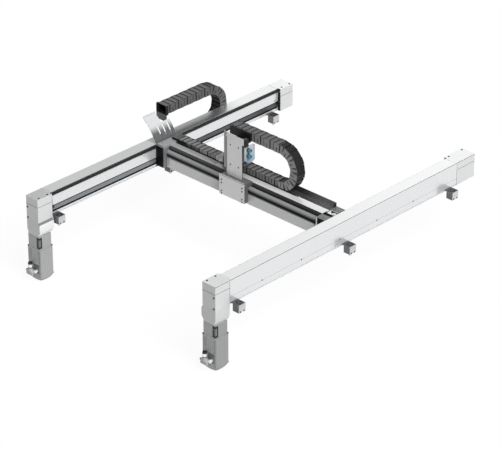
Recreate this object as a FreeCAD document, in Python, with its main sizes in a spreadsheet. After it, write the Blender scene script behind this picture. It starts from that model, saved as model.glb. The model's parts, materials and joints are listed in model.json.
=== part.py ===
import FreeCAD, Part
import math
import os

import Sketcher
from FreeCAD import Placement, Rotation, Vector

# Planar gantry: two fixed beams along Y, a cross beam that rides on both, and a slide that rides
# on the cross beam. One standing toothed belt in an H layout joins the two motors to the slide.
# X runs across from the left beam to the right one, Y along the beams, away from the motors.
# The origin is the middle of the rectangle of foot bolts, on the underside of the feet.

# Driving sizes in millimetres, kept in the sheet under these names
SIZES = {
    # fixed beams
    "axis_spacing": 1200,
    "beam_length": 1612,
    "beam_height": 128,
    "beam_outer_reach": 42,
    "beam_inner_reach": 25,
    "beam_wall": 4,
    "cover_thickness": 3,
    "belt_channel_depth": 21,
    "rail_channel_top": 75,
    "rail_channel_bottom": 111,
    "tee_slot_width": 6,
    "tee_slot_depth": 5,
    "tee_slot_drop": 119,
    # guide rails
    "rail_size": 20,
    "rail_drop": 83,
    "rail_depth": 22,
    # drive heads and idler heads
    "head_width": 84,
    "drive_head_length": 94,
    "head_height": 127,
    "lid_height": 42,
    "left_idler_head_length": 94,
    "right_idler_head_length": 137,
    "idler_axis_inset": 47,
    # motors
    "motor_axis_inset": 41,
    "coupling_housing_height": 79,
    "coupling_housing_taper": 9,
    "coupling_housing_taper_height": 26,
    "coupling_groove_height": 10,
    "coupling_step": 7,
    "coupling_cavity_half": 31,
    "motor_width": 90,
    "motor_neck_width": 78,
    "motor_neck_height": 72,
    "motor_length": 222,
    "motor_cap_height": 31,
    "motor_crown_radius": 110,
    "motor_corner": 6,
    "plug_radius": 12,
    "rib_depth": 1.5,
    "rib_pitch": 11,
    # shafts and pulleys
    "shaft_radius": 10,
    "coupling_radius": 27,
    "coupling_length": 50,
    "bearing_width": 12,
    "bearing_half": 23,
    "drive_pitch_radius": 30,
    "idler_pitch_radius": 14,
    "belt_thickness": 3,
    "belt_width": 13,
    "belt_drop": 5,
    "axle_radius": 5,
    # feet
    "foot_spacing": 758,
    "foot_inset": 30,
    "foot_drop": 34,
    "foot_block_height": 40,
    "foot_width": 44,
    "foot_depth": 40,
    "foot_standoff": 10,
    "foot_bolt_radius": 4.5,
    # cross beam, heights below the top of the fixed beams and depths from its middle plane
    "cross_length": 1030,
    "cross_front": 27,
    "cross_strip_width": 39,
    "cross_back": 73,
    "cross_height": 112,
    "cross_wall": 3,
    "cross_box_height": 24,
    "cross_floor_drop": 11,
    "cavity_depth": 23,
    "cavity_height": 30,
    "nose_radius": 17,
    "nose_centre_front": 37,
    "nose_centre_drop": 40,
    "front_plate_face": 58,
    "front_plate_top": 50,
    "front_plate_bottom": 110,
    "front_plate_length": 982,
    "front_plate_thickness": 5,
    "small_rail_size": 12,
    "small_rail_depth": 13,
    "tray_wall_rise": 18,
    "tray_end_length": 14,
    "front_strand": 30,
    "rear_strand": 2,
    # carriages
    "carriage_front": 71,
    "carriage_length": 146,
    "carriage_standoff": 3,
    "carriage_bottom": 116,
    "carriage_top_drop": 4,
    "pulley_pocket_bottom": 22,
    "left_plate_thickness": 12,
    "right_plate_thickness": 4,
    "end_plate_thickness": 8,
    # slide
    "slide_place": -28,
    "slide_width": 172,
    "slide_face": 87,
    "slide_plate_thickness": 8,
    "carrier_depth": 18,
    "slide_top": 2,
    "slide_height": 101,
    "clamp_tooth_pitch": 8,
    "clamp_tooth_height": 5,
    "tool_plate_width": 102,
    "tool_plate_ear": 12,
    "tool_plate_height": 224,
    "tool_plate_thickness": 5,
    "tool_plate_face": 56,
    "tool_plate_shift": -11,
    "tool_plate_flange": 16,
    # energy chains
    "chain_pitch": 31.3,
    "chain_height": 48,
    "chain_bend_links": 10,
    "cross_chain_width": 58,
    "cross_chain_front": 14,
    "cross_chain_bend": 190,
    "cross_chain_axis": 114,
    "side_chain_width": 65,
    "side_chain_gap": 3,
    "side_chain_bend": 388,
    "side_chain_axis": 12,
    "chain_wall": 2,
    "chain_bar": 3.2,
    "sheet": 3,
    # clearances
    "running_gap": 0.06,
    "gap": 0.4,
}

# Counts that set how many copies a pattern has
LOWER_RUN_LINKS = 12
CROSS_UPPER_LINKS = 10
SIDE_UPPER_LINKS = 10
DRIVE_TEETH = 20
IDLER_FLATS = 24
IDLER_SIDES = (-1, 1)

doc = FreeCAD.newDocument("planar_gantry")
sheet = doc.addObject("Spreadsheet::Sheet", "Sizes")


class Dim:
    """A length with its value and the sheet formula that it comes from."""

    def __init__(self, value, text):
        self.value = float(value)
        self.text = text

    def __add__(self, other):
        other = dim(other)
        return Dim(self.value + other.value, f"({self.text} + {other.text})")

    def __sub__(self, other):
        other = dim(other)
        return Dim(self.value - other.value, f"({self.text} - {other.text})")

    def __mul__(self, factor):
        factor = dim(factor)
        return Dim(self.value * factor.value, f"({self.text} * {factor.text})")

    def __truediv__(self, factor):
        factor = dim(factor)
        return Dim(self.value / factor.value, f"({self.text} / {factor.text})")

    def __neg__(self):
        return Dim(-self.value, f"(-{self.text})")

    __radd__ = __add__
    __rmul__ = __mul__

    def __rsub__(self, other):
        return dim(other) - self


def dim(value):
    """Return value as a Dim."""
    return value if isinstance(value, Dim) else Dim(value, f"({float(value):.6f})")


def fill_sheet():
    """Write every driving size into the sheet and return the sizes as Dims."""
    sizes = {}
    for row, (alias, value) in enumerate(SIZES.items(), start=1):
        sheet.set(f"A{row}", alias.replace("_", " "))
        sheet.set(f"B{row}", str(value))
        sheet.setAlias(f"B{row}", alias)
        sizes[alias] = Dim(value, f"Sizes.{alias}")
    doc.recompute()
    return sizes


class Sizes:
    """The sheet's sizes as attributes."""

    def __init__(self, sizes):
        self.__dict__.update(sizes)


s = Sizes(fill_sheet())

# Places worked out from the driving sizes
TOP = s.beam_height + s.foot_drop
AXIS = s.axis_spacing / 2
BEAM_START = -(s.foot_inset + s.foot_spacing)
BEAM_END = BEAM_START + s.beam_length
NEAR_FACE = BEAM_START - s.drive_head_length
MOTOR_AXIS = NEAR_FACE + s.motor_axis_inset
IDLER_AXIS = BEAM_END + s.idler_axis_inset
BELT_TOP = TOP - s.belt_drop
BELT_BOTTOM = BELT_TOP - s.belt_width
STRAND = AXIS - s.drive_pitch_radius
FLOOR_TOP = TOP - s.cross_floor_drop
CROSS_END = s.cross_length / 2
END_PLATE_END = CROSS_END + s.end_plate_thickness
CARRIAGE_OUT = AXIS - s.beam_inner_reach - s.carriage_standoff
CARRIAGE_BACK = s.carriage_length - s.carriage_front
CARRIAGE_TOP = TOP - s.carriage_top_drop
BEAM_IDLER_X = STRAND - s.idler_pitch_radius
NEAR_IDLER_Y = -s.front_strand - s.idler_pitch_radius
FAR_IDLER_Y = -s.rear_strand + s.idler_pitch_radius
SLIDE_LEFT = s.slide_place - s.slide_width / 2
SLIDE_RIGHT = s.slide_place + s.slide_width / 2
SLIDE_BACK = -s.slide_face + s.slide_plate_thickness
CARRIER_BACK = SLIDE_BACK + s.carrier_depth
BEND_RADIUS = s.chain_pitch / (2 * math.sin(math.pi / (2 * SIZES["chain_bend_links"])))

parts = {}


def keep(name, item):
    """Register item as the sub-part name."""
    item.Label = name
    parts[name] = item
    return item


def bind(item, prop, value):
    """Bind a property of item to a Dim, or to a plain number."""
    item.setExpression(prop, dim(value).text)


def place(item, x=0, y=0, z=0):
    """Bind the item's position to the given Dims."""
    bind(item, "Placement.Base.x", x)
    bind(item, "Placement.Base.y", y)
    bind(item, "Placement.Base.z", z)
    return item


def box(x0, x1, y0, y1, z0, z1):
    """Return a box between two corners that are given as Dims."""
    item = doc.addObject("Part::Box", "box")
    bind(item, "Length", dim(x1) - x0)
    bind(item, "Width", dim(y1) - y0)
    bind(item, "Height", dim(z1) - z0)
    return place(item, x0, y0, z0)


TURNS = {"z": Rotation(), "x": Rotation(Vector(0, 1, 0), 90), "y": Rotation(Vector(1, 0, 0), -90)}


def rod(radius, length, x, y, z, axis="z"):
    """Return a cylinder that starts at x, y, z and runs in the positive direction of its axis."""
    item = doc.addObject("Part::Cylinder", "rod")
    bind(item, "Radius", radius)
    bind(item, "Height", length)
    item.Placement = Placement(Vector(), TURNS[axis])
    return place(item, x, y, z)


def flat_rod(sides, radius, length, x, y, z, axis="z"):
    """Return a prism with flat sides, placed and turned as a rod is."""
    item = doc.addObject("Part::Prism", "flat_rod")
    item.Polygon = sides
    bind(item, "Circumradius", radius)
    bind(item, "Height", length)
    item.Placement = Placement(Vector(), TURNS[axis])
    return place(item, x, y, z)


def fuse(*items):
    """Return the union of the items."""
    item = doc.addObject("Part::MultiFuse", "union")
    item.Shapes = list(items)
    item.Refine = True
    return item


def cut(base, *tools):
    """Return base less the tools."""
    item = doc.addObject("Part::Cut", "cut")
    item.Base = base
    item.Tool = tools[0] if len(tools) == 1 else fuse(*tools)
    return item


def group(*items):
    """Return separate solids as one sub-part."""
    item = doc.addObject("Part::Compound", "group")
    item.Links = list(items)
    return item


PLANES = {"x": "YZ_Plane", "y": "XZ_Plane", "z": "XY_Plane"}


def closed_outline(sketch, points):
    """Draw a closed outline through points, each coordinate held by the sheet."""
    first = sketch.GeometryCount
    count = len(points)
    corners = [(dim(a), dim(b)) for a, b in points]
    for i in range(count):
        start = Vector(corners[i][0].value, corners[i][1].value, 0)
        end = Vector(corners[(i + 1) % count][0].value, corners[(i + 1) % count][1].value, 0)
        sketch.addGeometry(Part.LineSegment(start, end))
    for i in range(count):
        sketch.addConstraint(Sketcher.Constraint("Coincident", first + i, 2, first + (i + 1) % count, 1))
    for i in range(count):
        for kind, value in zip(("DistanceX", "DistanceY"), corners[i]):
            held = sketch.addConstraint(Sketcher.Constraint(kind, -1, 1, first + i, 1, value.value))
            sketch.setExpression(f"Constraints[{held}]", value.text)


def prism(axis, outline, start, end, voids=()):
    """Return a body that extrudes an outline, less its voids, from start to end along axis.

    The outline's points are (y, z) along x, (x, z) along y and (x, y) along z.
    """
    body = doc.addObject("PartDesign::Body", "extrusion")
    plane = next(f for f in body.Origin.OriginFeatures if f.Role == PLANES[axis])
    sketch = body.newObject("Sketcher::SketchObject", "outline")
    sketch.AttachmentSupport = (plane, "")
    sketch.MapMode = "FlatFace"
    for points in (outline, *voids):
        closed_outline(sketch, points)
    pad = body.newObject("PartDesign::Pad", "pad")
    pad.Profile = sketch
    pad.Reversed = axis == "y"
    bind(pad, "Length", dim(end) - start)
    bind(body, f"Placement.Base.{axis}", start)
    return body


def across(side, near, far):
    """Return the low and high x of a span that is mirrored to the left for side -1."""
    near, far = dim(near), dim(far)
    return (near, far) if side > 0 else (-far, -near)


def side_box(side, near, far, y0, y1, z0, z1):
    """Return a box whose x span lies between near and far on the left or right side."""
    x0, x1 = across(side, near, far)
    return box(x0, x1, y0, y1, z0, z1)


# Fixed beams: one extrusion each, with a belt channel above and a rail channel below, both open inwards
def beam_profile(side):
    inner = AXIS - s.beam_inner_reach
    outer = AXIS + s.beam_outer_reach
    under_cover = TOP - s.cover_thickness
    belt_floor = TOP - s.belt_channel_depth
    rail_roof = TOP - s.rail_channel_top
    rail_floor = TOP - s.rail_channel_bottom
    slot_top = TOP - s.tee_slot_drop
    slot_bottom = slot_top - s.tee_slot_width
    bottom = TOP - s.beam_height
    outline = [
        (outer, under_cover),
        (outer - s.beam_wall, under_cover),
        (outer - s.beam_wall, belt_floor),
        (inner, belt_floor),
        (inner, rail_roof),
        (AXIS, rail_roof),
        (AXIS, rail_floor),
        (inner, rail_floor),
        (inner, slot_top),
        (inner + s.tee_slot_depth, slot_top),
        (inner + s.tee_slot_depth, slot_bottom),
        (inner, slot_bottom),
        (inner, bottom),
        (outer, bottom),
        (outer, slot_bottom),
        (outer - s.tee_slot_depth, slot_bottom),
        (outer - s.tee_slot_depth, slot_top),
        (outer, slot_top),
    ]
    void = [
        (outer - s.beam_wall, belt_floor - s.beam_wall),
        (inner + s.beam_wall, belt_floor - s.beam_wall),
        (inner + s.beam_wall, rail_roof + s.beam_wall),
        (AXIS + s.beam_wall, rail_roof + s.beam_wall),
        (AXIS + s.beam_wall, rail_floor),
        (outer - s.beam_wall, rail_floor),
    ]
    turned = [[(dim(side) * x, z) for x, z in loop] for loop in (outline, void)]
    return prism("y", turned[0], BEAM_START, BEAM_END, [turned[1]])


keep("left_beam_profile", beam_profile(-1))
keep("right_beam_profile", beam_profile(1))
keep("beam_top_covers", group(*[
    side_box(side, AXIS - s.beam_inner_reach, AXIS + s.beam_outer_reach,
             BEAM_START, BEAM_END, TOP - s.cover_thickness, TOP)
    for side in IDLER_SIDES
]))
keep("beam_guide_rails", group(*[
    side_box(side, AXIS - s.rail_depth, AXIS, BEAM_START, BEAM_END,
             TOP - s.rail_drop - s.rail_size, TOP - s.rail_drop)
    for side in IDLER_SIDES
]))


# Drive heads: a bored block that carries the shaft, under a lid that covers the pulley
def head_span(side):
    return across(side, AXIS - s.head_width / 2, AXIS + s.head_width / 2)


def centre(side):
    return AXIS * side


POCKET_HALF = s.drive_pitch_radius + 6.5
LID_BOTTOM = TOP - s.lid_height
HEAD_BOTTOM = TOP - s.head_height
BELT_ROOF = TOP - s.cover_thickness
PULLEY_FLOOR = TOP - s.pulley_pocket_bottom


def well(side, axis_y, half, bottom, top):
    """Return a square block of air around a vertical axis of a head."""
    return box(centre(side) - half, centre(side) + half, axis_y - half, axis_y + half, bottom, top)


def drive_head(side):
    x0, x1 = head_span(side)
    body = box(x0, x1, NEAR_FACE, BEAM_START, HEAD_BOTTOM, LID_BOTTOM)
    passage = well(side, MOTOR_AXIS, s.shaft_radius + 4, HEAD_BOTTOM, LID_BOTTOM)
    seats = [
        well(side, MOTOR_AXIS, s.bearing_half, z, z + s.bearing_width)
        for z in (HEAD_BOTTOM, LID_BOTTOM - s.bearing_width)
    ]
    return cut(body, passage, *seats)


def head_lid(side, axis_y, y0, y1, inward):
    x0, x1 = head_span(side)
    lid = box(x0, x1, y0, y1, LID_BOTTOM, TOP)
    pocket = well(side, axis_y, POCKET_HALF, LID_BOTTOM, BELT_ROOF)
    mouth = (axis_y, y1) if inward > 0 else (y0, axis_y)
    gate_low, gate_high = across(side, AXIS - POCKET_HALF, AXIS + POCKET_HALF)
    gate = box(gate_low, gate_high, mouth[0], mouth[1], PULLEY_FLOOR, BELT_ROOF)
    return cut(lid, pocket, gate)


keep("drive_heads", group(*[drive_head(side) for side in IDLER_SIDES]))
keep("drive_head_lids", group(*[
    head_lid(side, MOTOR_AXIS, NEAR_FACE, BEAM_START, 1) for side in IDLER_SIDES
]))


keep("shaft_bearings", group(*[
    cut(well(side, MOTOR_AXIS, s.bearing_half, z, z + s.bearing_width),
        rod(s.shaft_radius + s.running_gap, s.bearing_width, centre(side), MOTOR_AXIS, z))
    for side in IDLER_SIDES
    for z in (HEAD_BOTTOM, LID_BOTTOM - s.bearing_width)
]))


# Coupling housings: the width of the head, tapered below to meet the motor
MOTOR_TOP = HEAD_BOTTOM - s.coupling_housing_height


def coupling_housing(side):
    half = s.head_width / 2
    taper = s.coupling_housing_taper
    knee = MOTOR_TOP + s.coupling_housing_taper_height
    inner, outer = AXIS - half, AXIS + half
    proud = inner - s.coupling_step
    ledge = HEAD_BOTTOM - s.coupling_groove_height
    outline = [
        (inner, HEAD_BOTTOM),
        (outer, HEAD_BOTTOM),
        (outer, knee),
        (outer - taper, MOTOR_TOP),
        (inner + taper, MOTOR_TOP),
        (proud, knee),
        (proud, ledge),
        (inner, ledge),
    ]
    body = prism("y", [(dim(side) * x, z) for x, z in outline], NEAR_FACE, BEAM_START)
    return cut(body, well(side, MOTOR_AXIS, s.coupling_cavity_half, MOTOR_TOP, HEAD_BOTTOM))


keep("coupling_housings", group(*[coupling_housing(side) for side in IDLER_SIDES]))


# Motors: a square neck, a wider body with fine upright ribs, and a crowned end cap
def motor_square(width, side):
    half = width / 2
    return across(side, AXIS - half, AXIS + half) + (MOTOR_AXIS - half, MOTOR_AXIS + half)


def ribbed_outline(side):
    """Return the square outline of the motor body with a groove between neighbouring ribs."""
    half = s.motor_width / 2
    count = int((s.motor_width.value - 2 * s.motor_corner.value) // s.rib_pitch.value)
    first = -s.rib_pitch * (count - 1) / 2
    points = []
    for quarter in range(4):
        edge = [(-half + s.motor_corner, -half)]
        for number in range(count):
            place_along = first + s.rib_pitch * number
            edge.append((place_along - 1, -half))
            edge.append((place_along, -half + s.rib_depth))
            edge.append((place_along + 1, -half))
        edge.append((half - s.motor_corner, -half))
        for a, b in edge:
            for _ in range(quarter):
                a, b = -b, a
            points.append((centre(side) + a, MOTOR_AXIS + b))
    return points


MOTOR_NECK_BOTTOM = MOTOR_TOP - s.motor_neck_height
MOTOR_BODY_BOTTOM = MOTOR_TOP - s.motor_length
MOTOR_BOTTOM = MOTOR_BODY_BOTTOM - s.motor_cap_height
MOTOR_SHAFT_END = MOTOR_TOP - 24


def motor_housing(side):
    x0, x1, y0, y1 = motor_square(s.motor_neck_width, side)
    neck = box(x0, x1, y0, y1, MOTOR_NECK_BOTTOM, MOTOR_TOP)
    body = prism("z", ribbed_outline(side), MOTOR_BODY_BOTTOM, MOTOR_NECK_BOTTOM)
    bore = rod(s.shaft_radius + 1, MOTOR_TOP - MOTOR_SHAFT_END + 1, centre(side), MOTOR_AXIS,
               MOTOR_SHAFT_END - 1)
    return cut(fuse(neck, body), bore)


def motor_end_cap(side):
    x0, x1, y0, y1 = motor_square(s.motor_width, side)
    block = box(x0, x1, y0, y1, MOTOR_BOTTOM, MOTOR_BODY_BOTTOM)
    height = MOTOR_BOTTOM + s.motor_crown_radius
    span = s.motor_width * 2
    cap = doc.addObject("Part::MultiCommon", "crowned_cap")
    cap.Shapes = [
        block,
        rod(s.motor_crown_radius, span, centre(side) - s.motor_width, MOTOR_AXIS, height, "x"),
        rod(s.motor_crown_radius, span, centre(side), MOTOR_AXIS - s.motor_width, height, "y"),
    ]
    return cap


keep("motor_housings", group(*[motor_housing(side) for side in IDLER_SIDES]))
keep("motor_end_caps", group(*[motor_end_cap(side) for side in IDLER_SIDES]))


# Motor plugs: a socket block on the near face, with one round plug that points up and one outwards
PLUG_BLOCK_DEPTH = 26
PLUG_BLOCK_HEIGHT = 24


def motor_plug(side):
    face = MOTOR_AXIS - s.motor_width / 2
    x = centre(side)
    low = MOTOR_TOP - 214
    socket = box(x - 32, x + 12, face - PLUG_BLOCK_DEPTH, face, low, low + PLUG_BLOCK_HEIGHT)
    riser = rod(s.plug_radius, 34, x - 13, face - PLUG_BLOCK_DEPTH / 2, low + PLUG_BLOCK_HEIGHT)
    stub = flat_rod(8, s.plug_radius - 3, 18, x + 22, face - 18, low + 25, "y")
    return group(fuse(socket, riser), stub)


keep("motor_plugs", group(*[motor_plug(side) for side in IDLER_SIDES]))


# Shafts, couplings and drive pulleys, all on the motor axis
def toothed_wheel(pitch_radius, teeth, bore, x, y, bottom, height):
    """Return a belt pulley whose straight teeth taper a little towards their tips."""
    rim = (pitch_radius - s.belt_thickness / 2).value
    step = 2 * math.pi / teeth
    corners = [
        Vector(radius * math.cos(angle), radius * math.sin(angle), 0)
        for number in range(teeth)
        for radius, angle in (
            (rim - 2, (number - 0.32) * step), (rim, (number - 0.22) * step),
            (rim, (number + 0.22) * step), (rim - 2, (number + 0.32) * step))
    ]
    wheel = doc.addObject("Part::Feature", "toothed_wheel")
    wheel.Shape = Part.Face(Part.makePolygon(corners + corners[:1])).extrude(Vector(0, 0, height.value))
    place(wheel, x, y, bottom)
    return cut(wheel, rod(bore, height, x, y, bottom))


def plain_wheel(pitch_radius, bore, x, y):
    """Return a smooth idler for the belt, with a rim of narrow flats."""
    wheel = flat_rod(IDLER_FLATS, pitch_radius - s.belt_thickness / 2, PULLEY_HEIGHT, x, y, PULLEY_BOTTOM)
    return cut(wheel, rod(bore, PULLEY_HEIGHT, x, y, PULLEY_BOTTOM))


PULLEY_BOTTOM = BELT_BOTTOM - 0.5
PULLEY_HEIGHT = s.belt_width + 0.5
for side, word in ((-1, "left"), (1, "right")):
    axis_x = centre(side)
    keep(f"{word}_drive_pulley", toothed_wheel(
        s.drive_pitch_radius, DRIVE_TEETH, s.shaft_radius + s.running_gap,
        axis_x, MOTOR_AXIS, PULLEY_BOTTOM, PULLEY_HEIGHT))
    coupling_bottom = MOTOR_TOP + 8
    keep(f"{word}_shaft_train", fuse(
        rod(s.shaft_radius, BELT_TOP - MOTOR_SHAFT_END, axis_x, MOTOR_AXIS, MOTOR_SHAFT_END),
        flat_rod(8, s.coupling_radius, s.coupling_length, axis_x, MOTOR_AXIS, coupling_bottom)))


# Idler heads at the far ends; the right one is longer
def idler_head_length(side):
    return s.left_idler_head_length if side < 0 else s.right_idler_head_length


def idler_head(side):
    x0, x1 = head_span(side)
    return box(x0, x1, BEAM_END, BEAM_END + idler_head_length(side), HEAD_BOTTOM, LID_BOTTOM)


keep("idler_heads", group(*[idler_head(side) for side in IDLER_SIDES]))
keep("idler_head_lids", group(*[
    head_lid(side, IDLER_AXIS, BEAM_END, BEAM_END + idler_head_length(side), -1) for side in IDLER_SIDES
]))
keep("frame_idler_axles", group(*[
    rod(s.axle_radius, s.lid_height - s.cover_thickness, centre(side), IDLER_AXIS, LID_BOTTOM)
    for side in IDLER_SIDES
]))
for side, word in ((-1, "left"), (1, "right")):
    keep(f"{word}_idler_pulley", plain_wheel(
        s.drive_pitch_radius, s.axle_radius + s.running_gap, centre(side), IDLER_AXIS))


# Feet: a tongue in the beam's side slot and a block below, on both sides of each beam. The bores of
# the four outer corner feet make the bolt pattern of the machine.
def foot(x_side, outward, row):
    """Return one foot; outward is 1 where it stands on the side that faces away from the middle."""
    y = s.foot_spacing * row
    reach = s.beam_outer_reach if outward > 0 else s.beam_inner_reach
    wall = AXIS + reach if outward > 0 else AXIS - reach
    tip = wall - s.tee_slot_depth + s.gap if outward > 0 else wall + s.tee_slot_depth - s.gap
    start = wall + s.foot_standoff * outward
    end = start + s.foot_depth * outward
    half = s.foot_width / 2
    slot_top = TOP - s.tee_slot_drop
    tongue_low = slot_top - s.tee_slot_width + s.gap
    tongue_high = slot_top - s.gap

    def span(a, b):
        low, high = (a, b) if a.value < b.value else (b, a)
        return across(x_side, low, high)

    tongue = box(*span(tip, end), y - half, y + half, tongue_low, tongue_high)
    block = box(*span(start, end), y - half, y + half, 0, s.foot_block_height)
    if outward < 0 or row == 0:
        return fuse(tongue, block)
    middle = (start + end) / 2 * x_side
    bolt = rod(s.foot_bolt_radius, s.foot_block_height + 10, middle, y, -1)
    return cut(fuse(tongue, block), bolt)


keep("mounting_feet", group(*[
    foot(side, outward, row)
    for side in IDLER_SIDES
    for outward in (-1, 1)
    for row in (-1, 0, 1)
]))

# Screw heads: on the lids, on the near faces of the drive heads and along the outer walls of the beams
SCREW_RADIUS = 4
SCREW_RISE = 1.6
lid_screws = [
    flat_rod(6, SCREW_RADIUS, SCREW_RISE, (AXIS - s.head_width / 2 + 12) * side, y, TOP)
    for side in IDLER_SIDES
    for y in (NEAR_FACE + 19, BEAM_START - 20, BEAM_END + 21, BEAM_END + idler_head_length(side) - 15)
]
face_screws = [
    flat_rod(6, SCREW_RADIUS, SCREW_RISE, (AXIS + 33) * side, NEAR_FACE - SCREW_RISE, TOP - drop, "y")
    for side in IDLER_SIDES
    for drop in (60, 118)
]
wall_screws = [
    flat_rod(6, SCREW_RADIUS - 1, SCREW_RISE,
             AXIS + s.beam_outer_reach if side > 0 else -AXIS - s.beam_outer_reach - SCREW_RISE,
             BEAM_START + 214 + 267 * number, TOP - 89, "x")
    for side in IDLER_SIDES
    for number in range(5)
]
keep("cover_screws", group(*lid_screws, *face_screws, *wall_screws))

# Rubber stops: a plate on each head's step towards the beam, with a buffer in front of the carriage
BUFFER_DROP = 74
BUFFER_LENGTH = 14
STOP_PLATE = 2


def stop_buffer(side, near):
    start = BEAM_START if near else BEAM_END - BUFFER_LENGTH
    plate_start = BEAM_START if near else BEAM_END - STOP_PLATE
    face = AXIS - s.beam_inner_reach - s.gap
    plate = side_box(side, AXIS - s.head_width / 2, face, plate_start, plate_start + STOP_PLATE,
                     HEAD_BOTTOM, PULLEY_FLOOR)
    knob = flat_rod(8, 8, BUFFER_LENGTH, (face - 9) * side, start, TOP - BUFFER_DROP, "y")
    return fuse(plate, knob)


keep("stop_buffers", group(*[stop_buffer(side, near) for side in IDLER_SIDES for near in (True, False)]))


# Belt: outer strands with both half turns, inner strands, and the two strands across the cross beam
def arc_ring(x, y, radius, start, sweep):
    """Return a piece of belt around a pulley, from a start angle through a sweep in degrees."""
    inner = radius - s.belt_thickness / 2
    piece = doc.addObject("Part::Cylinder", "turn")
    bind(piece, "Radius", radius + s.belt_thickness / 2)
    bind(piece, "Height", s.belt_width)
    piece.Angle = sweep
    piece.Placement = Placement(Vector(), Rotation(Vector(0, 0, 1), start))
    place(piece, x, y, BELT_BOTTOM)
    return cut(piece, rod(inner, s.belt_width, x, y, BELT_BOTTOM))


def strand_y(side, x, y0, y1):
    half = s.belt_thickness / 2
    return side_box(side, x - half, x + half, y0, y1, BELT_BOTTOM, BELT_TOP)


def strand_x(y, x0, x1):
    half = s.belt_thickness / 2
    return box(x0, x1, y - half, y + half, BELT_BOTTOM, BELT_TOP)


OUTER_STRAND = AXIS + s.drive_pitch_radius
keep("belt_outer_strands", group(*[
    fuse(
        strand_y(side, OUTER_STRAND, MOTOR_AXIS, IDLER_AXIS),
        arc_ring(centre(side), MOTOR_AXIS, s.drive_pitch_radius, 180, 180),
        arc_ring(centre(side), IDLER_AXIS, s.drive_pitch_radius, 0, 180),
    )
    for side in IDLER_SIDES
]))
keep("belt_inner_strands", group(*[
    strand_y(side, STRAND, y0, y1)
    for side in IDLER_SIDES
    for y0, y1 in ((MOTOR_AXIS, NEAR_IDLER_Y), (FAR_IDLER_Y, IDLER_AXIS))
]))
keep("belt_rear_strand", fuse(
    strand_x(-s.rear_strand, -BEAM_IDLER_X, BEAM_IDLER_X),
    arc_ring(-BEAM_IDLER_X, FAR_IDLER_Y, s.idler_pitch_radius, 180, 90),
    arc_ring(BEAM_IDLER_X, FAR_IDLER_Y, s.idler_pitch_radius, 270, 90),
))
keep("belt_front_strands", group(
    fuse(strand_x(-s.front_strand, -BEAM_IDLER_X, SLIDE_LEFT),
         arc_ring(-BEAM_IDLER_X, NEAR_IDLER_Y, s.idler_pitch_radius, 90, 90)),
    fuse(strand_x(-s.front_strand, SLIDE_RIGHT, BEAM_IDLER_X),
         arc_ring(BEAM_IDLER_X, NEAR_IDLER_Y, s.idler_pitch_radius, 0, 90)),
))


# Cross beam profile: a closed top box for the rear strand, a front cavity for the rail, a chain floor
CAVITY_TOP = TOP - s.cross_box_height
CAVITY_BOTTOM = CAVITY_TOP - s.cavity_height
CROSS_BOTTOM = TOP - s.cross_height
STRIP_BACK = -s.cross_front + s.cross_strip_width
CAVITY_BACK = -s.cross_front + s.cavity_depth


def cross_profile():
    wall = s.cross_wall
    front = -s.cross_front
    plate_back = -s.front_plate_face + s.front_plate_thickness
    shelf = CAVITY_BOTTOM - wall
    outline = [
        (front, TOP),
        (STRIP_BACK, TOP),
        (STRIP_BACK, FLOOR_TOP),
        (s.cross_back, FLOOR_TOP),
        (s.cross_back, CROSS_BOTTOM),
        (plate_back, CROSS_BOTTOM),
        (plate_back, shelf),
        (front, shelf),
        (front, CAVITY_BOTTOM),
        (CAVITY_BACK, CAVITY_BOTTOM),
        (CAVITY_BACK, CAVITY_TOP),
        (front, CAVITY_TOP),
    ]
    top_void = [
        (front + wall, TOP - wall),
        (STRIP_BACK - wall, TOP - wall),
        (STRIP_BACK - wall, CAVITY_TOP + wall),
        (front + wall, CAVITY_TOP + wall),
    ]
    main_void = [
        (CAVITY_BACK + wall, CAVITY_TOP - wall),
        (s.cross_back - wall, CAVITY_TOP - wall),
        (s.cross_back - wall, CROSS_BOTTOM + wall),
        (plate_back + wall, CROSS_BOTTOM + wall),
        (plate_back + wall, CAVITY_BOTTOM - wall * 2),
        (CAVITY_BACK + wall, CAVITY_BOTTOM - wall * 2),
    ]
    return prism("x", outline, -CROSS_END, CROSS_END, [top_void, main_void])


keep("cross_beam_profile", cross_profile())
NOSE_BACK = -s.cross_front - 7
nose = doc.addObject("Part::Cylinder", "nose")
bind(nose, "Radius", s.nose_radius)
bind(nose, "Height", s.cross_length)
nose.Angle = 180
nose.Placement = Placement(Vector(), Rotation(Vector(0, 1, 0), 90) * Rotation(Vector(0, 0, 1), 180))
place(nose, -CROSS_END, -s.nose_centre_front, TOP - s.nose_centre_drop)
keep("cross_nose_cover", fuse(nose, box(
    -CROSS_END, CROSS_END, -s.nose_centre_front, NOSE_BACK,
    TOP - s.nose_centre_drop - s.nose_radius, TOP - s.nose_centre_drop + s.nose_radius)))
keep("cross_front_plate", box(
    -s.front_plate_length / 2, s.front_plate_length / 2,
    -s.front_plate_face, -s.front_plate_face + s.front_plate_thickness,
    TOP - s.front_plate_bottom, TOP - s.front_plate_top))
SMALL_RAIL_Z = (CAVITY_TOP + CAVITY_BOTTOM) / 2
keep("cross_guide_rail", box(
    -CROSS_END, CROSS_END, CAVITY_BACK - s.small_rail_depth, CAVITY_BACK,
    SMALL_RAIL_Z - s.small_rail_size / 2, SMALL_RAIL_Z + s.small_rail_size / 2))
keep("cross_chain_tray", fuse(
    box(-CROSS_END, CROSS_END, s.cross_back, s.cross_back + s.sheet, FLOOR_TOP - 20, TOP + s.tray_wall_rise),
    box(CROSS_END - s.sheet, CROSS_END, s.cross_back - s.tray_end_length, s.cross_back,
        FLOOR_TOP, TOP + s.tray_wall_rise)))


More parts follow.
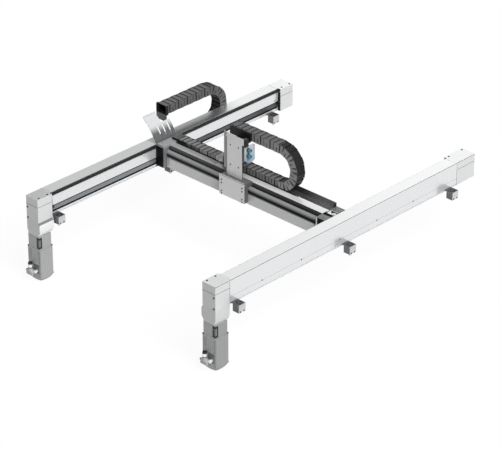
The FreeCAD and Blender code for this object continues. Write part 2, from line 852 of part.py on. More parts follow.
# End plates between the cross beam and the carriages, notched for the belt
def end_plate(side):
    plate = side_box(side, CROSS_END, END_PLATE_END, -s.carriage_front, s.cross_back,
                     TOP - s.carriage_bottom + 6, CARRIAGE_TOP)
    notch = side_box(side, CROSS_END - 1, END_PLATE_END + 1, -s.front_strand - 6, -s.rear_strand + 6,
                     PULLEY_FLOOR, TOP + 1)
    return cut(plate, notch)


keep("beam_end_plates", group(*[end_plate(side) for side in IDLER_SIDES]))


# Carriages: a tall block with a pocket for two belt idlers, open towards the beam and the strands
def carriage(side):
    block = side_box(side, END_PLATE_END, CARRIAGE_OUT, -s.carriage_front, CARRIAGE_BACK,
                     TOP - s.carriage_bottom, CARRIAGE_TOP)
    pocket = side_box(side, END_PLATE_END - 1, CARRIAGE_OUT + 1,
                      NEAR_IDLER_Y - s.idler_pitch_radius - 4, FAR_IDLER_Y + s.idler_pitch_radius + 4,
                      PULLEY_FLOOR, TOP)
    groove = side_box(side, STRAND - 3, CARRIAGE_OUT + 1, -s.carriage_front - 1, CARRIAGE_BACK + 1,
                      PULLEY_FLOOR, TOP)
    return cut(block, pocket, groove)


keep("left_carriage", carriage(-1))
keep("right_carriage", carriage(1))
IDLER_PLACES = {"near": NEAR_IDLER_Y, "far": FAR_IDLER_Y}
keep("beam_idler_axles", group(*[
    rod(s.axle_radius, CARRIAGE_TOP - PULLEY_FLOOR, BEAM_IDLER_X * side, y, PULLEY_FLOOR)
    for side in IDLER_SIDES
    for y in IDLER_PLACES.values()
]))
for side, word in ((-1, "left"), (1, "right")):
    for near, y in IDLER_PLACES.items():
        keep(f"{word}_{near}_beam_idler", plain_wheel(
            s.idler_pitch_radius, s.axle_radius + s.running_gap, BEAM_IDLER_X * side, y))


# Runner blocks wrap three sides of each fixed rail and bolt to the carriage
def runner(side):
    roof = TOP - s.rail_drop + 6
    floor = TOP - s.rail_drop - s.rail_size - 6
    block = side_box(side, CARRIAGE_OUT, AXIS - 6, -50, 50, floor, roof)
    slot = side_box(side, AXIS - s.rail_depth - s.gap, AXIS - 5, -51, 51,
                    TOP - s.rail_drop - s.rail_size - s.gap, TOP - s.rail_drop + s.gap)
    return cut(block, slot)


keep("runner_blocks", group(*[runner(side) for side in IDLER_SIDES]))

# Plates on top of the carriages: one thick plate on the left, two thin ones on the right
BOLT_RADIUS = 4.5
left_plate = box(-CARRIAGE_OUT, -CROSS_END - s.gap, -s.carriage_front, CARRIAGE_BACK,
                 CARRIAGE_TOP, CARRIAGE_TOP + s.left_plate_thickness)
left_holes = [
    rod(BOLT_RADIUS, s.left_plate_thickness + 2, -BEAM_IDLER_X, y, CARRIAGE_TOP - 1)
    for y in (NEAR_IDLER_Y,)
]
right_plates = [
    cut(box(CROSS_END + s.gap + s.sheet, CARRIAGE_OUT, y0, y1,
            CARRIAGE_TOP, CARRIAGE_TOP + s.right_plate_thickness),
        rod(BOLT_RADIUS, s.right_plate_thickness + 2, BEAM_IDLER_X - 6, hole, CARRIAGE_TOP - 1))
    for y0, y1, hole in ((-s.carriage_front, -s.carriage_front + 42, -s.carriage_front + 13),
                         (CARRIAGE_BACK - 42, CARRIAGE_BACK, CARRIAGE_BACK - 13))
]
keep("carriage_top_plates", group(cut(left_plate, *left_holes), *right_plates))

# Cable sheet: a folded sheet with three slits, from the left carriage up to the end of the side chain
SHEET_BASE = CARRIAGE_TOP + s.left_plate_thickness
CHAIN_SIDE = AXIS + s.beam_outer_reach + s.side_chain_gap
CHAIN_OUTER = CHAIN_SIDE + s.side_chain_width
SIDE_UPPER_BOTTOM = TOP + s.side_chain_axis + BEND_RADIUS - s.chain_height / 2
SIDE_UPPER_END = s.side_chain_bend - s.chain_pitch * SIDE_UPPER_LINKS
FRAME_FRONT = SIDE_UPPER_END - 4
FRAME_BACK = SIDE_UPPER_END + 11
SHEET_FRONT = -s.carriage_front + 1
SHEET_BACK = FRAME_FRONT + 1
fold = [
    (-CARRIAGE_OUT + 8, SHEET_BASE),
    (-CARRIAGE_OUT - 5, SHEET_BASE),
    (-CARRIAGE_OUT - 24, TOP + 40),
    (-CARRIAGE_OUT - 52, TOP + 79),
    (-CHAIN_SIDE, TOP + 99),
    (-CHAIN_SIDE - 17, TOP + 111),
    (-CHAIN_SIDE - 19, TOP + 124),
]


def folded_sheet(points, thickness):
    """Return the outline of a sheet that follows points, with its thickness on the upper left."""
    upper = []
    for i, (x, z) in enumerate(points):
        before = points[max(i - 1, 0)]
        after = points[min(i + 1, len(points) - 1)]
        dx = after[0].value - before[0].value
        dz = after[1].value - before[1].value
        length = math.hypot(dx, dz)
        upper.append((x + thickness * (dz / length), z - thickness * (dx / length)))
    return list(points) + upper[::-1]


sheet_body = prism("y", folded_sheet(fold, s.sheet), SHEET_FRONT, SHEET_BACK)
SLIT_WIDTH = 8
SLIT_PITCH = 34
slits = [
    box(-CARRIAGE_OUT - 56, -CARRIAGE_OUT - 4, SHEET_FRONT + 46 + SLIT_PITCH * number,
        SHEET_FRONT + 46 + SLIT_PITCH * number + SLIT_WIDTH, TOP + 20, TOP + 76)
    for number in range(3)
]

# End frame of the side chain: a seat, two cheeks beside the first link and a plate below its mouth
FRAME_LOW = TOP + 54
seat = box(-CHAIN_OUTER - 4, -CHAIN_SIDE + 4, FRAME_FRONT, FRAME_BACK,
           SIDE_UPPER_BOTTOM - s.sheet, SIDE_UPPER_BOTTOM)
apron = box(-CHAIN_OUTER - 4, -CHAIN_SIDE + 4, FRAME_FRONT, FRAME_FRONT + 3, FRAME_LOW, SIDE_UPPER_BOTTOM)
cheeks = [
    box(x, x + 3, FRAME_FRONT, FRAME_BACK, SIDE_UPPER_BOTTOM, SIDE_UPPER_BOTTOM + s.chain_height)
    for x in (-CHAIN_OUTER - 4, -CHAIN_SIDE + 1)
]
keep("cable_sheet", fuse(cut(sheet_body, *slits), seat, apron, *cheeks))


# Energy chains: links with outer and inner side plates follow each other, joined by two cross bars
PLATE_OVERLAP = 2.5


def link_shape(width, inner):
    """Return one link that starts at its own pivot and runs along x; y is its width, z its height."""
    pitch = s.chain_pitch.value
    half = s.chain_height.value / 2
    wall = s.chain_wall.value
    bar = s.chain_bar.value
    reach = width / 2 - (wall if inner else 0)
    solids = [
        Part.makeBox(pitch + 2 * PLATE_OVERLAP, wall, 2 * half, Vector(-PLATE_OVERLAP, start, -half))
        for start in (reach - wall, -reach)
    ]
    span = 2 * (width / 2 - 2 * wall) if inner else 2 * (width / 2 - wall)
    for length, z in ((pitch * (0.62 if inner else 0.33), half - bar - 1), (pitch * 0.82, -half + 1)):
        solids.append(Part.makeBox(length, span, bar, Vector((pitch - length) / 2, -span / 2, z)))
    return solids[0].fuse(solids[1:]).removeSplitter()


def run_of_links(links, first, count, start, height, turned):
    """Return count links in a straight run along x, from start; turned runs have them upside down."""
    placed = []
    for number in range(count):
        copy = links[(first + number) % 2].copy()
        if turned:
            copy.rotate(Vector(), Vector(0, 1, 0), 180)
            offset = start + (number + 1) * s.chain_pitch.value
        else:
            offset = start + number * s.chain_pitch.value
        copy.translate(Vector(offset, 0, height))
        placed.append(copy)
    return placed


def bend_of_links(links, first, last, bend_start, axis_height):
    """Return the links of a bend that starts below at bend_start and turns up and over."""
    radius = BEND_RADIUS.value
    count = SIZES["chain_bend_links"]
    step = 180 / count
    placed = []
    for number in range(first, last):
        angle = math.radians(number * step)
        copy = links[number % 2].copy()
        copy.rotate(Vector(), Vector(0, 1, 0), -(number + 0.5) * step)
        copy.translate(Vector(bend_start + radius * math.sin(angle), 0,
                              axis_height - radius * math.cos(angle)))
        placed.append(copy)
    return placed


def chain_node(name, solids, turn, x, y):
    """Keep the links as one sub-part; the chain lies along x and is turned about z where asked."""
    item = doc.addObject("Part::Feature", "links")
    item.Shape = Part.makeCompound(solids)
    item.Placement = Placement(Vector(), Rotation(Vector(0, 0, 1), turn))
    place(item, x, y, TOP)
    return keep(name, item)


def chain(prefix, width, bend_start, axis_height, upper_links, turn, x, y):
    """Make the four pieces of one energy chain."""
    links = [link_shape(width, inner) for inner in (False, True)]
    half = SIZES["chain_bend_links"] // 2
    radius = BEND_RADIUS.value
    pitch = s.chain_pitch.value
    low = run_of_links(links, LOWER_RUN_LINKS, LOWER_RUN_LINKS, bend_start - LOWER_RUN_LINKS * pitch,
                       axis_height - radius, False)
    high = run_of_links(links, upper_links + 1, upper_links, bend_start - upper_links * pitch,
                        axis_height + radius, True)
    chain_node(f"{prefix}_lower_run", low, turn, x, y)
    chain_node(f"{prefix}_upper_run", high, turn, x, y)
    for level, first in (("lower", 0), ("upper", half)):
        bend = bend_of_links(links, first, first + half, bend_start, axis_height)
        chain_node(f"{prefix}_bend_{level}", bend, turn, x, y)


chain("cross_chain", s.cross_chain_width.value, s.cross_chain_bend.value, s.cross_chain_axis.value,
      CROSS_UPPER_LINKS, 0, 0, s.cross_chain_front + s.cross_chain_width / 2)
chain("side_chain", s.side_chain_width.value, s.side_chain_bend.value, s.side_chain_axis.value,
      SIDE_UPPER_LINKS, 90, -(CHAIN_SIDE + s.side_chain_width / 2), 0)

# Tray for the side chain, on the outer wall of the left beam
SIDE_FLOOR = TOP + s.side_chain_axis - BEND_RADIUS - s.chain_height / 2
keep("side_chain_tray", fuse(
    box(-CHAIN_OUTER - 1 - s.sheet, -AXIS - s.beam_outer_reach, -20, 800,
        SIDE_FLOOR - s.sheet - s.gap, SIDE_FLOOR - s.gap),
    box(-CHAIN_OUTER - 1 - s.sheet, -CHAIN_OUTER - 1, -20, 800, SIDE_FLOOR - s.gap, SIDE_FLOOR + 30)))

# Cable duct: the fixed stretch of cable cover that leads from the left end to the cross chain
DUCT_COLLARS = 9
DUCT_PITCH = 30
DUCT_START = -CROSS_END + 10
DUCT_END = DUCT_START + DUCT_COLLARS * DUCT_PITCH - 2


def duct_box(start, end, inset):
    return box(start, end, s.cross_chain_front + inset, s.cross_chain_front + s.cross_chain_width - inset,
               FLOOR_TOP + inset, FLOOR_TOP + 35 - inset)


collars = [
    duct_box(DUCT_START + DUCT_PITCH * number, DUCT_START + DUCT_PITCH * number + DUCT_PITCH - 2, 0)
    for number in range(DUCT_COLLARS)
]
windows = [
    box(DUCT_START + DUCT_PITCH * number + 12, DUCT_START + DUCT_PITCH * number + 25,
        s.cross_chain_front + 6, s.cross_chain_front + s.cross_chain_width - 6,
        FLOOR_TOP + 20, FLOOR_TOP + 36)
    for number in range(DUCT_COLLARS)
]
keep("cable_duct", cut(fuse(duct_box(DUCT_START, DUCT_END, 1.5), *collars),
                       duct_box(DUCT_START - 1, DUCT_END + 1, 4), *windows))

# Slide: base plate, runner carrier with the belt clamp, tool plate, chain bracket and connector plate
SLIDE_TOP = TOP + s.slide_top
SLIDE_BOTTOM = SLIDE_TOP - s.slide_height
TOOL_PLATE_X = s.slide_place + s.tool_plate_shift
keep("slide_base_plate", box(
    SLIDE_LEFT, SLIDE_RIGHT, -s.slide_face, SLIDE_BACK, SLIDE_BOTTOM, SLIDE_TOP))

ARM_TOP = TOP + 5
LEG_FRONT = -s.cross_front - 5.5
LEG_BACK = -s.cross_front - 1.5
RUNNER_BACK = CAVITY_BACK - 4
RUNNER_TOP = CAVITY_TOP - 3
RUNNER_BOTTOM = CAVITY_BOTTOM + 3
carrier = prism("x", [
    (SLIDE_BACK, ARM_TOP),
    (LEG_BACK, ARM_TOP),
    (LEG_BACK, RUNNER_TOP),
    (RUNNER_BACK, RUNNER_TOP),
    (RUNNER_BACK, SMALL_RAIL_Z + s.small_rail_size / 2 + s.gap),
    (CAVITY_BACK - s.small_rail_depth - s.gap, SMALL_RAIL_Z + s.small_rail_size / 2 + s.gap),
    (CAVITY_BACK - s.small_rail_depth - s.gap, SMALL_RAIL_Z - s.small_rail_size / 2 - s.gap),
    (RUNNER_BACK, SMALL_RAIL_Z - s.small_rail_size / 2 - s.gap),
    (RUNNER_BACK, RUNNER_BOTTOM),
    (LEG_FRONT, RUNNER_BOTTOM),
    (LEG_FRONT, TOP - 13),
    (CARRIER_BACK, TOP - 13),
    (CARRIER_BACK, SLIDE_BOTTOM + 2),
    (SLIDE_BACK, SLIDE_BOTTOM + 2),
], SLIDE_LEFT + 1, SLIDE_RIGHT - 1)
keep("slide_runner_carrier", carrier)


def toothed_clamp():
    """Return the belt clamp: a strip on top of the base plate, cut into the tooth shape of the belt."""
    pitch = s.clamp_tooth_pitch
    count = int(s.slide_width.value // pitch.value)
    low = SLIDE_TOP
    root = SLIDE_TOP + 2
    tip = root + s.clamp_tooth_height
    points = [(SLIDE_LEFT + pitch * count, low), (SLIDE_LEFT, low)]
    for number in range(count):
        start = SLIDE_LEFT + pitch * number
        points.append((start, root))
        points.append((start + pitch * 0.2, tip))
        points.append((start + pitch * 0.55, tip))
        points.append((start + pitch * 0.75, root))
    points.append((SLIDE_LEFT + pitch * count, root))
    return prism("y", points, -s.slide_face, SLIDE_BACK)


keep("belt_clamp", toothed_clamp())

PLATE_LEFT = TOOL_PLATE_X - s.tool_plate_width / 2
PLATE_RIGHT = TOOL_PLATE_X + s.tool_plate_width / 2
PLATE_BACK = -s.tool_plate_face + s.tool_plate_thickness
PLATE_TOP = ARM_TOP + s.tool_plate_height
plate_outline = [
    (PLATE_LEFT, -s.tool_plate_face),
    (PLATE_RIGHT, -s.tool_plate_face),
    (PLATE_RIGHT, PLATE_BACK),
    (PLATE_LEFT + 2, PLATE_BACK),
    (PLATE_LEFT - s.tool_plate_flange, PLATE_BACK + 10),
    (PLATE_LEFT - s.tool_plate_flange, PLATE_BACK + 4),
]
EAR_RIGHT = PLATE_RIGHT + s.tool_plate_ear
EAR_HEIGHT = 34
tool_plate = fuse(
    prism("z", plate_outline, ARM_TOP, PLATE_TOP),
    box(PLATE_RIGHT - 1, EAR_RIGHT, -s.tool_plate_face, PLATE_BACK, PLATE_TOP - EAR_HEIGHT, PLATE_TOP))
TOOL_HOLE_RADIUS = 3.3
TOOL_HOLE_SPACING_X = 54
TOOL_HOLE_SPACING_Z = 108
TOOL_HOLE_LOW = 60
tool_holes = [
    rod(TOOL_HOLE_RADIUS, 16, TOOL_PLATE_X + TOOL_HOLE_SPACING_X / 2 * hand, -s.tool_plate_face - 2,
        ARM_TOP + TOOL_HOLE_LOW + TOOL_HOLE_SPACING_Z * row, "y")
    for hand in (-1, 1)
    for row in (0, 1)
]
flange_notch = box(PLATE_LEFT - s.tool_plate_flange - 1, PLATE_LEFT - 6, -s.tool_plate_face, PLATE_BACK + 12,
                   PLATE_TOP - 26, PLATE_TOP - 12)
keep("tool_plate", cut(tool_plate, flange_notch, *tool_holes))

CROSS_UPPER_BOTTOM = TOP + s.cross_chain_axis + BEND_RADIUS - s.chain_height / 2
UPPER_END = s.cross_chain_bend - s.chain_pitch * CROSS_UPPER_LINKS
CHAIN_BACK = s.cross_chain_front + s.cross_chain_width
BRACKET_LEFT = UPPER_END - 11
BRACKET_RIGHT = BRACKET_LEFT + 139
BRACKET_WALL_TOP = CROSS_UPPER_BOTTOM + s.chain_height - 6
WALL_GAP = 0.6
front_wall = s.cross_chain_front - WALL_GAP - s.sheet
rear_wall = CHAIN_BACK + WALL_GAP
keep("chain_end_bracket", fuse(
    box(BRACKET_LEFT, BRACKET_RIGHT, front_wall, rear_wall + s.sheet,
        CROSS_UPPER_BOTTOM - s.sheet, CROSS_UPPER_BOTTOM),
    box(BRACKET_LEFT, BRACKET_RIGHT, front_wall, front_wall + s.sheet,
        CROSS_UPPER_BOTTOM - s.sheet, BRACKET_WALL_TOP),
    box(BRACKET_LEFT, BRACKET_RIGHT, rear_wall, rear_wall + s.sheet,
        CROSS_UPPER_BOTTOM - s.sheet, BRACKET_WALL_TOP),
    box(PLATE_LEFT + s.tool_plate_thickness, PLATE_RIGHT - s.sheet, PLATE_BACK, front_wall,
        CROSS_UPPER_BOTTOM - s.sheet, CROSS_UPPER_BOTTOM),
    box(PLATE_LEFT + s.tool_plate_thickness, PLATE_RIGHT - s.sheet, PLATE_BACK, PLATE_BACK + s.sheet,
        CROSS_UPPER_BOTTOM - 40, PLATE_TOP - 2),
    box(EAR_RIGHT - 14, EAR_RIGHT + 8, PLATE_BACK + WALL_GAP, PLATE_BACK + 22,
        CROSS_UPPER_BOTTOM - s.sheet, PLATE_TOP - 2),
    box(PLATE_RIGHT - s.sheet - 1, EAR_RIGHT - 13, PLATE_BACK + WALL_GAP, PLATE_BACK + 22,
        CROSS_UPPER_BOTTOM - s.sheet, CROSS_UPPER_BOTTOM)))

CONNECTOR_LOW = TOP + 90
CONNECTOR_HIGH = TOP + 186
CONNECTOR_BACK = 22
CONNECTOR_CORNER = 10
connector_sheet = prism("x", [
    (PLATE_BACK, CONNECTOR_LOW),
    (CONNECTOR_BACK - CONNECTOR_CORNER, CONNECTOR_LOW),
    (CONNECTOR_BACK, CONNECTOR_LOW + CONNECTOR_CORNER),
    (CONNECTOR_BACK, CONNECTOR_HIGH - CONNECTOR_CORNER),
    (CONNECTOR_BACK - CONNECTOR_CORNER, CONNECTOR_HIGH),
    (PLATE_BACK, CONNECTOR_HIGH),
], EAR_RIGHT - s.sheet, EAR_RIGHT)
connector_flange = box(PLATE_RIGHT - 12, EAR_RIGHT - s.sheet, PLATE_BACK, PLATE_BACK + s.sheet,
                       CONNECTOR_LOW + 20, PLATE_TOP - 80)
keep("connector_plate", fuse(connector_sheet, connector_flange))
FITTING_Y = -24
keep("hose_fittings", group(*[
    fuse(flat_rod(6, 11, 8, EAR_RIGHT, FITTING_Y, TOP + z, "x"),
         flat_rod(8, 9.5, 14, EAR_RIGHT + 8, FITTING_Y, TOP + z, "x"))
    for z in (134, 166)
]))


def check_and_write():
    """Recompute, stop on any failed object or shape, and write one file for each sub-part."""
    doc.recompute()
    for item in doc.Objects:
        if "Invalid" in item.State or "Error" in item.State:
            raise RuntimeError(f"{item.Name} ({item.Label}) is {item.State}")
    for name, item in parts.items():
        if item.Shape.isNull() or not item.Shape.isValid() or not item.Shape.Solids:
            raise RuntimeError(f"{name} has no valid solid")
    os.makedirs("parts", exist_ok=True)
    for name, item in parts.items():
        item.Shape.exportStep(f"parts/{name}.step")
    print(len(parts), "sub-parts written")


check_and_write()
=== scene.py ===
"""Finishes and fine pieces of a planar belt gantry: two fixed beams, a cross beam and a slide.

X runs across from the left beam to the right one, Y along the beams away from the motors, and Z up.
All sizes are in metres.
"""

import json
import logging
import math
from collections.abc import Callable, Sequence
from dataclasses import dataclass, replace
from enum import Enum

import bpy
from mathutils import Matrix, Vector

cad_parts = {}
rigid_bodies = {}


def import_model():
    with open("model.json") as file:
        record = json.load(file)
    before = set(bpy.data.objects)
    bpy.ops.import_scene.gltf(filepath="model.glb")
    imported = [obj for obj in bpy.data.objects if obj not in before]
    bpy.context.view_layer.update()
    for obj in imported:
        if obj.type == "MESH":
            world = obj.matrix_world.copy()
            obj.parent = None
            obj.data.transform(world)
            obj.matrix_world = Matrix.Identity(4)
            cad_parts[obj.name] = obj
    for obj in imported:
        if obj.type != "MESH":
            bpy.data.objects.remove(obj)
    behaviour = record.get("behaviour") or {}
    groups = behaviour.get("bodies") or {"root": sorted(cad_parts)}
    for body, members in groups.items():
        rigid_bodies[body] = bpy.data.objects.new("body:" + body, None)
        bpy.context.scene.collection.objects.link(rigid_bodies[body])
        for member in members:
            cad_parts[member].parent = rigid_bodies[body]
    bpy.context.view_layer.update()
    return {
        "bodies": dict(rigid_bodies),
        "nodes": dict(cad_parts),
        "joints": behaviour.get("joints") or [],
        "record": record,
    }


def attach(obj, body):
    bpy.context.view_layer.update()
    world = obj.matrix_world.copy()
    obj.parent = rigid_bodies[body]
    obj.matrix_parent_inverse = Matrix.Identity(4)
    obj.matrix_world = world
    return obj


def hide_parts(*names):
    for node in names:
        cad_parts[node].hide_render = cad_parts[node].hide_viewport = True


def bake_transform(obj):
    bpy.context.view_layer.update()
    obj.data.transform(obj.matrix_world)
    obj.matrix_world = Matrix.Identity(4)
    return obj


LOG = logging.getLogger("gantry")
Point = tuple[float, float, float]
Corners = tuple[Point, Point]
Colour = tuple[float, float, float]
FaceTest = Callable[[Vector, Vector], bool]
Inputs = dict[str | int, object]
Socket = bpy.types.NodeSocket

# Heights and places that several sub-assemblies share
TOP = 0.162
AXIS = 0.600
BEAM_HALF = 0.042
BELT_LINE = 0.570
BEAM_START, BEAM_END = -0.788, 0.824
NEAR_FACE = -0.882
MOTOR_AXIS, IDLER_AXIS = -0.841, 0.871
BELT_TOP, BELT_BOTTOM = TOP - 0.005, TOP - 0.018
CHAIN_PITCH, CHAIN_HEIGHT, CHAIN_BEND_LINKS = 0.0313, 0.048, 10
SIDES = (-1, 1)
HANDS = {"left": -1, "right": 1}
RIGHT, FAR, NEAR, UP = (1, 0, 0), (0, 1, 0), (0, -1, 0), (0, 0, 1)
WHITE = (1.0, 1.0, 1.0, 1.0)
BUMP_DISTANCE = 0.0004
COAT_ROUGHNESS = 0.15
SHARP = math.radians(35.0)
# How much of a face's normal goes one way when the face looks mostly, or squarely, that way
MOSTLY, SQUARELY = 0.8, 0.9


class Grain(Enum):
    """The way a surface was drawn, rolled or brushed, as the stretch of its grain along X, Y and Z."""

    ALONG_X = (3.0, 260.0, 260.0)
    ALONG_Y = (260.0, 3.0, 260.0)
    ALONG_Z = (260.0, 260.0, 3.0)
    BLASTED = (420.0, 420.0, 420.0)
    MOULDED = (160.0, 160.0, 160.0)


class Shape(Enum):
    """How far the copy of a fixed piece gets its edges rounded."""

    CRISP = 0.0004
    EASED = 0.0008
    SOFT = 0.0016


class Wiring:
    """Adds nodes to one node tree and wires them."""

    def __init__(self, tree: bpy.types.NodeTree) -> None:
        """Take the tree."""
        self.tree = tree

    def add(self, kind: str, inputs: Inputs | None = None, **settings: object) -> bpy.types.Node:
        """Add one node.

        Args:
            kind: The node's type.
            inputs: What each input takes: the output that feeds it, or a value.
            settings: The node's own settings.

        Returns:
            The node.
        """
        made = self.tree.nodes.new(kind)
        for name, value in settings.items():
            setattr(made, name, value)
        self.feed(made, inputs or {})
        return made

    def feed(self, node: bpy.types.Node, inputs: Inputs) -> None:
        """Give the inputs of a node what they take.

        Args:
            node: The node.
            inputs: The output or the value for each input.
        """
        for name, value in inputs.items():
            if isinstance(value, Socket):
                self.tree.links.new(value, node.inputs[name])
            else:
                node.inputs[name].default_value = value

    def maths(self, operation: str, first: object, second: object, clamp: bool = False) -> Socket:
        """Combine two outputs or values by one operation, and return the result's socket."""
        made = self.add("ShaderNodeMath", {0: first, 1: second}, operation=operation, use_clamp=clamp)
        return made.outputs[0]


def surface_group() -> bpy.types.NodeTree:
    """Build the shared surface effect: fine grain, soft patches and a dusty variation of the colour.

    Returns:
        The node group, made once.
    """
    found = bpy.data.node_groups.get("surface_character")
    if found:
        return found
    group = bpy.data.node_groups.new("surface_character", "ShaderNodeTree")
    for way, names in (
        ("INPUT", ("Stretch", "Colour", "Roughness", "Grain", "Patches")),
        ("OUTPUT", ("Colour", "Roughness", "Height")),
    ):
        for name in names:
            kind = {"Stretch": "Vector", "Colour": "Color"}.get(name, "Float")
            group.interface.new_socket(name=name, in_out=way, socket_type=f"NodeSocket{kind}")
    wiring = Wiring(group)
    start, end = wiring.add("NodeGroupInput").outputs, wiring.add("NodeGroupOutput")
    place = wiring.add("ShaderNodeTexCoord").outputs["Object"]
    stretch = wiring.add(
        "ShaderNodeVectorMath", {0: place, 1: start["Stretch"]}, operation="MULTIPLY").outputs[0]
    fine = wiring.add("ShaderNodeTexNoise", {"Vector": stretch, "Scale": 4.0, "Detail": 3.0}).outputs["Fac"]
    broad = wiring.add(
        "ShaderNodeTexNoise", {"Vector": place, "Scale": 9.0, "Detail": 4.0, "Roughness": 0.6}).outputs["Fac"]
    # Each noise is centred on zero before its amount scales it
    grain = wiring.maths("MULTIPLY", wiring.maths("SUBTRACT", fine, 0.5), start["Grain"])
    patches = wiring.maths("MULTIPLY", wiring.maths("SUBTRACT", broad, 0.5), start["Patches"])
    both = wiring.maths("ADD", grain, patches)
    tint = wiring.maths("ADD", both, 1.0)
    colour = wiring.add(
        "ShaderNodeVectorMath", {0: start["Colour"], "Scale": tint}, operation="SCALE").outputs[0]
    rough = wiring.maths("SUBTRACT", start["Roughness"], both, clamp=True)
    wiring.feed(end, {"Colour": colour, "Roughness": rough, "Height": fine})
    return group


@dataclass(frozen=True)
class Finish:
    """One finish of the machine, from its colour to the depth of its grain."""

    name: str
    colour: Colour
    metallic: float = 0.0
    roughness: float = 0.45
    grain: Grain = Grain.BLASTED
    grain_depth: float = 0.10
    patches: float = 0.06
    bump: float = 0.08
    coat: float = 0.0
    grade: tuple[str, float, float] | None = None
    far_colour: Colour = (0.5, 0.5, 0.5)
    specular: float = 0.5

    def tinted(self, name: str, *colour: float) -> "Finish":
        """Return the same finish under another name and in another colour."""
        return replace(self, name=name, colour=colour)

    def material(self) -> bpy.types.Material:
        """Build the material once.

        Returns:
            The material, with the shared surface effect behind its shader.
        """
        found = bpy.data.materials.get(self.name)
        if found:
            return found
        made = bpy.data.materials.new(self.name)
        made.use_nodes = True
        wiring = Wiring(made.node_tree)
        effect = wiring.add("ShaderNodeGroup", node_tree=surface_group())
        wiring.feed(effect, {
            "Stretch": self.grain.value, "Colour": self.graded(wiring) if self.grade else (*self.colour, 1.0),
            "Roughness": self.roughness, "Grain": self.grain_depth, "Patches": self.patches})
        bump = wiring.add("ShaderNodeBump", {
            "Strength": self.bump, "Distance": BUMP_DISTANCE, "Height": effect.outputs["Height"]})
        wiring.feed(made.node_tree.nodes["Principled BSDF"], {
            "Metallic": self.metallic, "Coat Weight": self.coat, "Coat Roughness": COAT_ROUGHNESS,
            "Specular IOR Level": self.specular, "Base Color": effect.outputs["Colour"],
            "Roughness": effect.outputs["Roughness"], "Normal": bump.outputs["Normal"]})
        return made

    def graded(self, wiring: Wiring) -> Socket:
        """Let the colour change along one axis, as a bent or rounded face does in soft light.

        Args:
            wiring: The wiring of the material.

        Returns:
            The socket with the colour.
        """
        axis, start, end = self.grade
        place = wiring.add("ShaderNodeTexCoord").outputs["Object"]
        along = wiring.add("ShaderNodeSeparateXYZ", {0: place}).outputs[axis]
        span = wiring.add(
            "ShaderNodeMapRange", {"Value": along, "From Min": start, "From Max": end},
            interpolation_type="SMOOTHSTEP")
        ends = {0: span.outputs["Result"], 6: (*self.colour, 1.0), 7: (*self.far_colour, 1.0)}
        return wiring.add("ShaderNodeMix", ends, data_type="RGBA").outputs[2]


BEAM_ANODISED = Finish("beam_anodised", (0.76, 0.77, 0.78), 0.45, 0.22, Grain.ALONG_Y, 0.04, 0.03)
CROSS_ANODISED = Finish("cross_beam_anodised", (0.72, 0.73, 0.73), 0.15, 0.30, Grain.ALONG_X, 0.06, 0.03)
FRONT_PLATE = Finish("front_plate_anodised", (0.72, 0.72, 0.72), 0.10, 0.38, Grain.ALONG_X, 0.06, 0.03)
# Painted reflection: the left cover is dark where it would mirror the chain and the sheet, and grades to pale
# further along Y
COVER_LEFT_REFLECTION = Finish(
    "left_cover_anodised", (0.40, 0.405, 0.41), 0.85, 0.27, Grain.ALONG_Y, 0.02, 0.02,
    grade=("Y", 0.300, 0.600), far_colour=(0.86, 0.87, 0.87))
# Painted reflection: the left cover's near part, a darker grey than the right cover, as if mirroring the dark
# parts beside it
COVER_NEAR_REFLECTION = Finish("near_left_cover_anodised", (0.55, 0.56, 0.56), 0.80, 0.22, Grain.ALONG_Y, 0.02, 0.02)
# Painted light: the covers grade lighter towards the far end
COVER_ANODISED = Finish(
    "cover_anodised", (0.78, 0.79, 0.79), 0.50, 0.22, Grain.ALONG_Y, 0.03, 0.02,
    grade=("Y", -0.780, 0.700), far_colour=(0.93, 0.94, 0.94))
HEAD_MACHINED = Finish("head_machined", (0.69, 0.70, 0.70), 0.08, 0.42, Grain.ALONG_Z, 0.04, 0.03)
# Painted shade: a darker copy of the head grey for the left drive lids' tops
HEAD_TOP_LEFT_SHADE = Finish("left_head_top_painted_shade", (0.44, 0.45, 0.45), 0.08, 0.34, Grain.ALONG_Y, 0.04, 0.03)
# Painted light: a pale grey for lit tops and right faces: the idler lids' tops, the left housing's right
# faces, the right end plate and the right carriage's top
PALE_PAINTED_LIGHT = HEAD_TOP_LEFT_SHADE.tinted("pale_painted_light", 0.90, 0.91, 0.91)
FLOOR_GLOSS = Finish("cavity_floor_gloss", (0.86, 0.87, 0.87), 0.95, 0.08, Grain.ALONG_X, 0.02, 0.02)
HOUSING_MACHINED = Finish("housing_machined", (0.66, 0.67, 0.67), 0.08, 0.45, Grain.BLASTED, 0.05, 0.04)
# Painted shade for the band under each head
HOUSING_SHADE = HOUSING_MACHINED.tinted("housing_painted_shade", 0.26, 0.26, 0.27)
MOTOR_CAST = Finish("motor_cast_grey", (0.30, 0.305, 0.305), 0.08, 0.50, Grain.ALONG_Z, 0.10, 0.06, 0.2)
# Painted light: a lighter copy of the cast grey for the left cap and the left housing's right faces
MOTOR_PAINTED_LIGHT = MOTOR_CAST.tinted("motor_painted_light_grey", 0.375, 0.38, 0.38)
# Painted light on the motors' near faces, and painted shade on the tool plate's flange: one mid grey
FRONT_LIGHT_AND_SHADE_GREY = MOTOR_CAST.tinted("front_painted_light_and_shade_grey", 0.47, 0.475, 0.475)
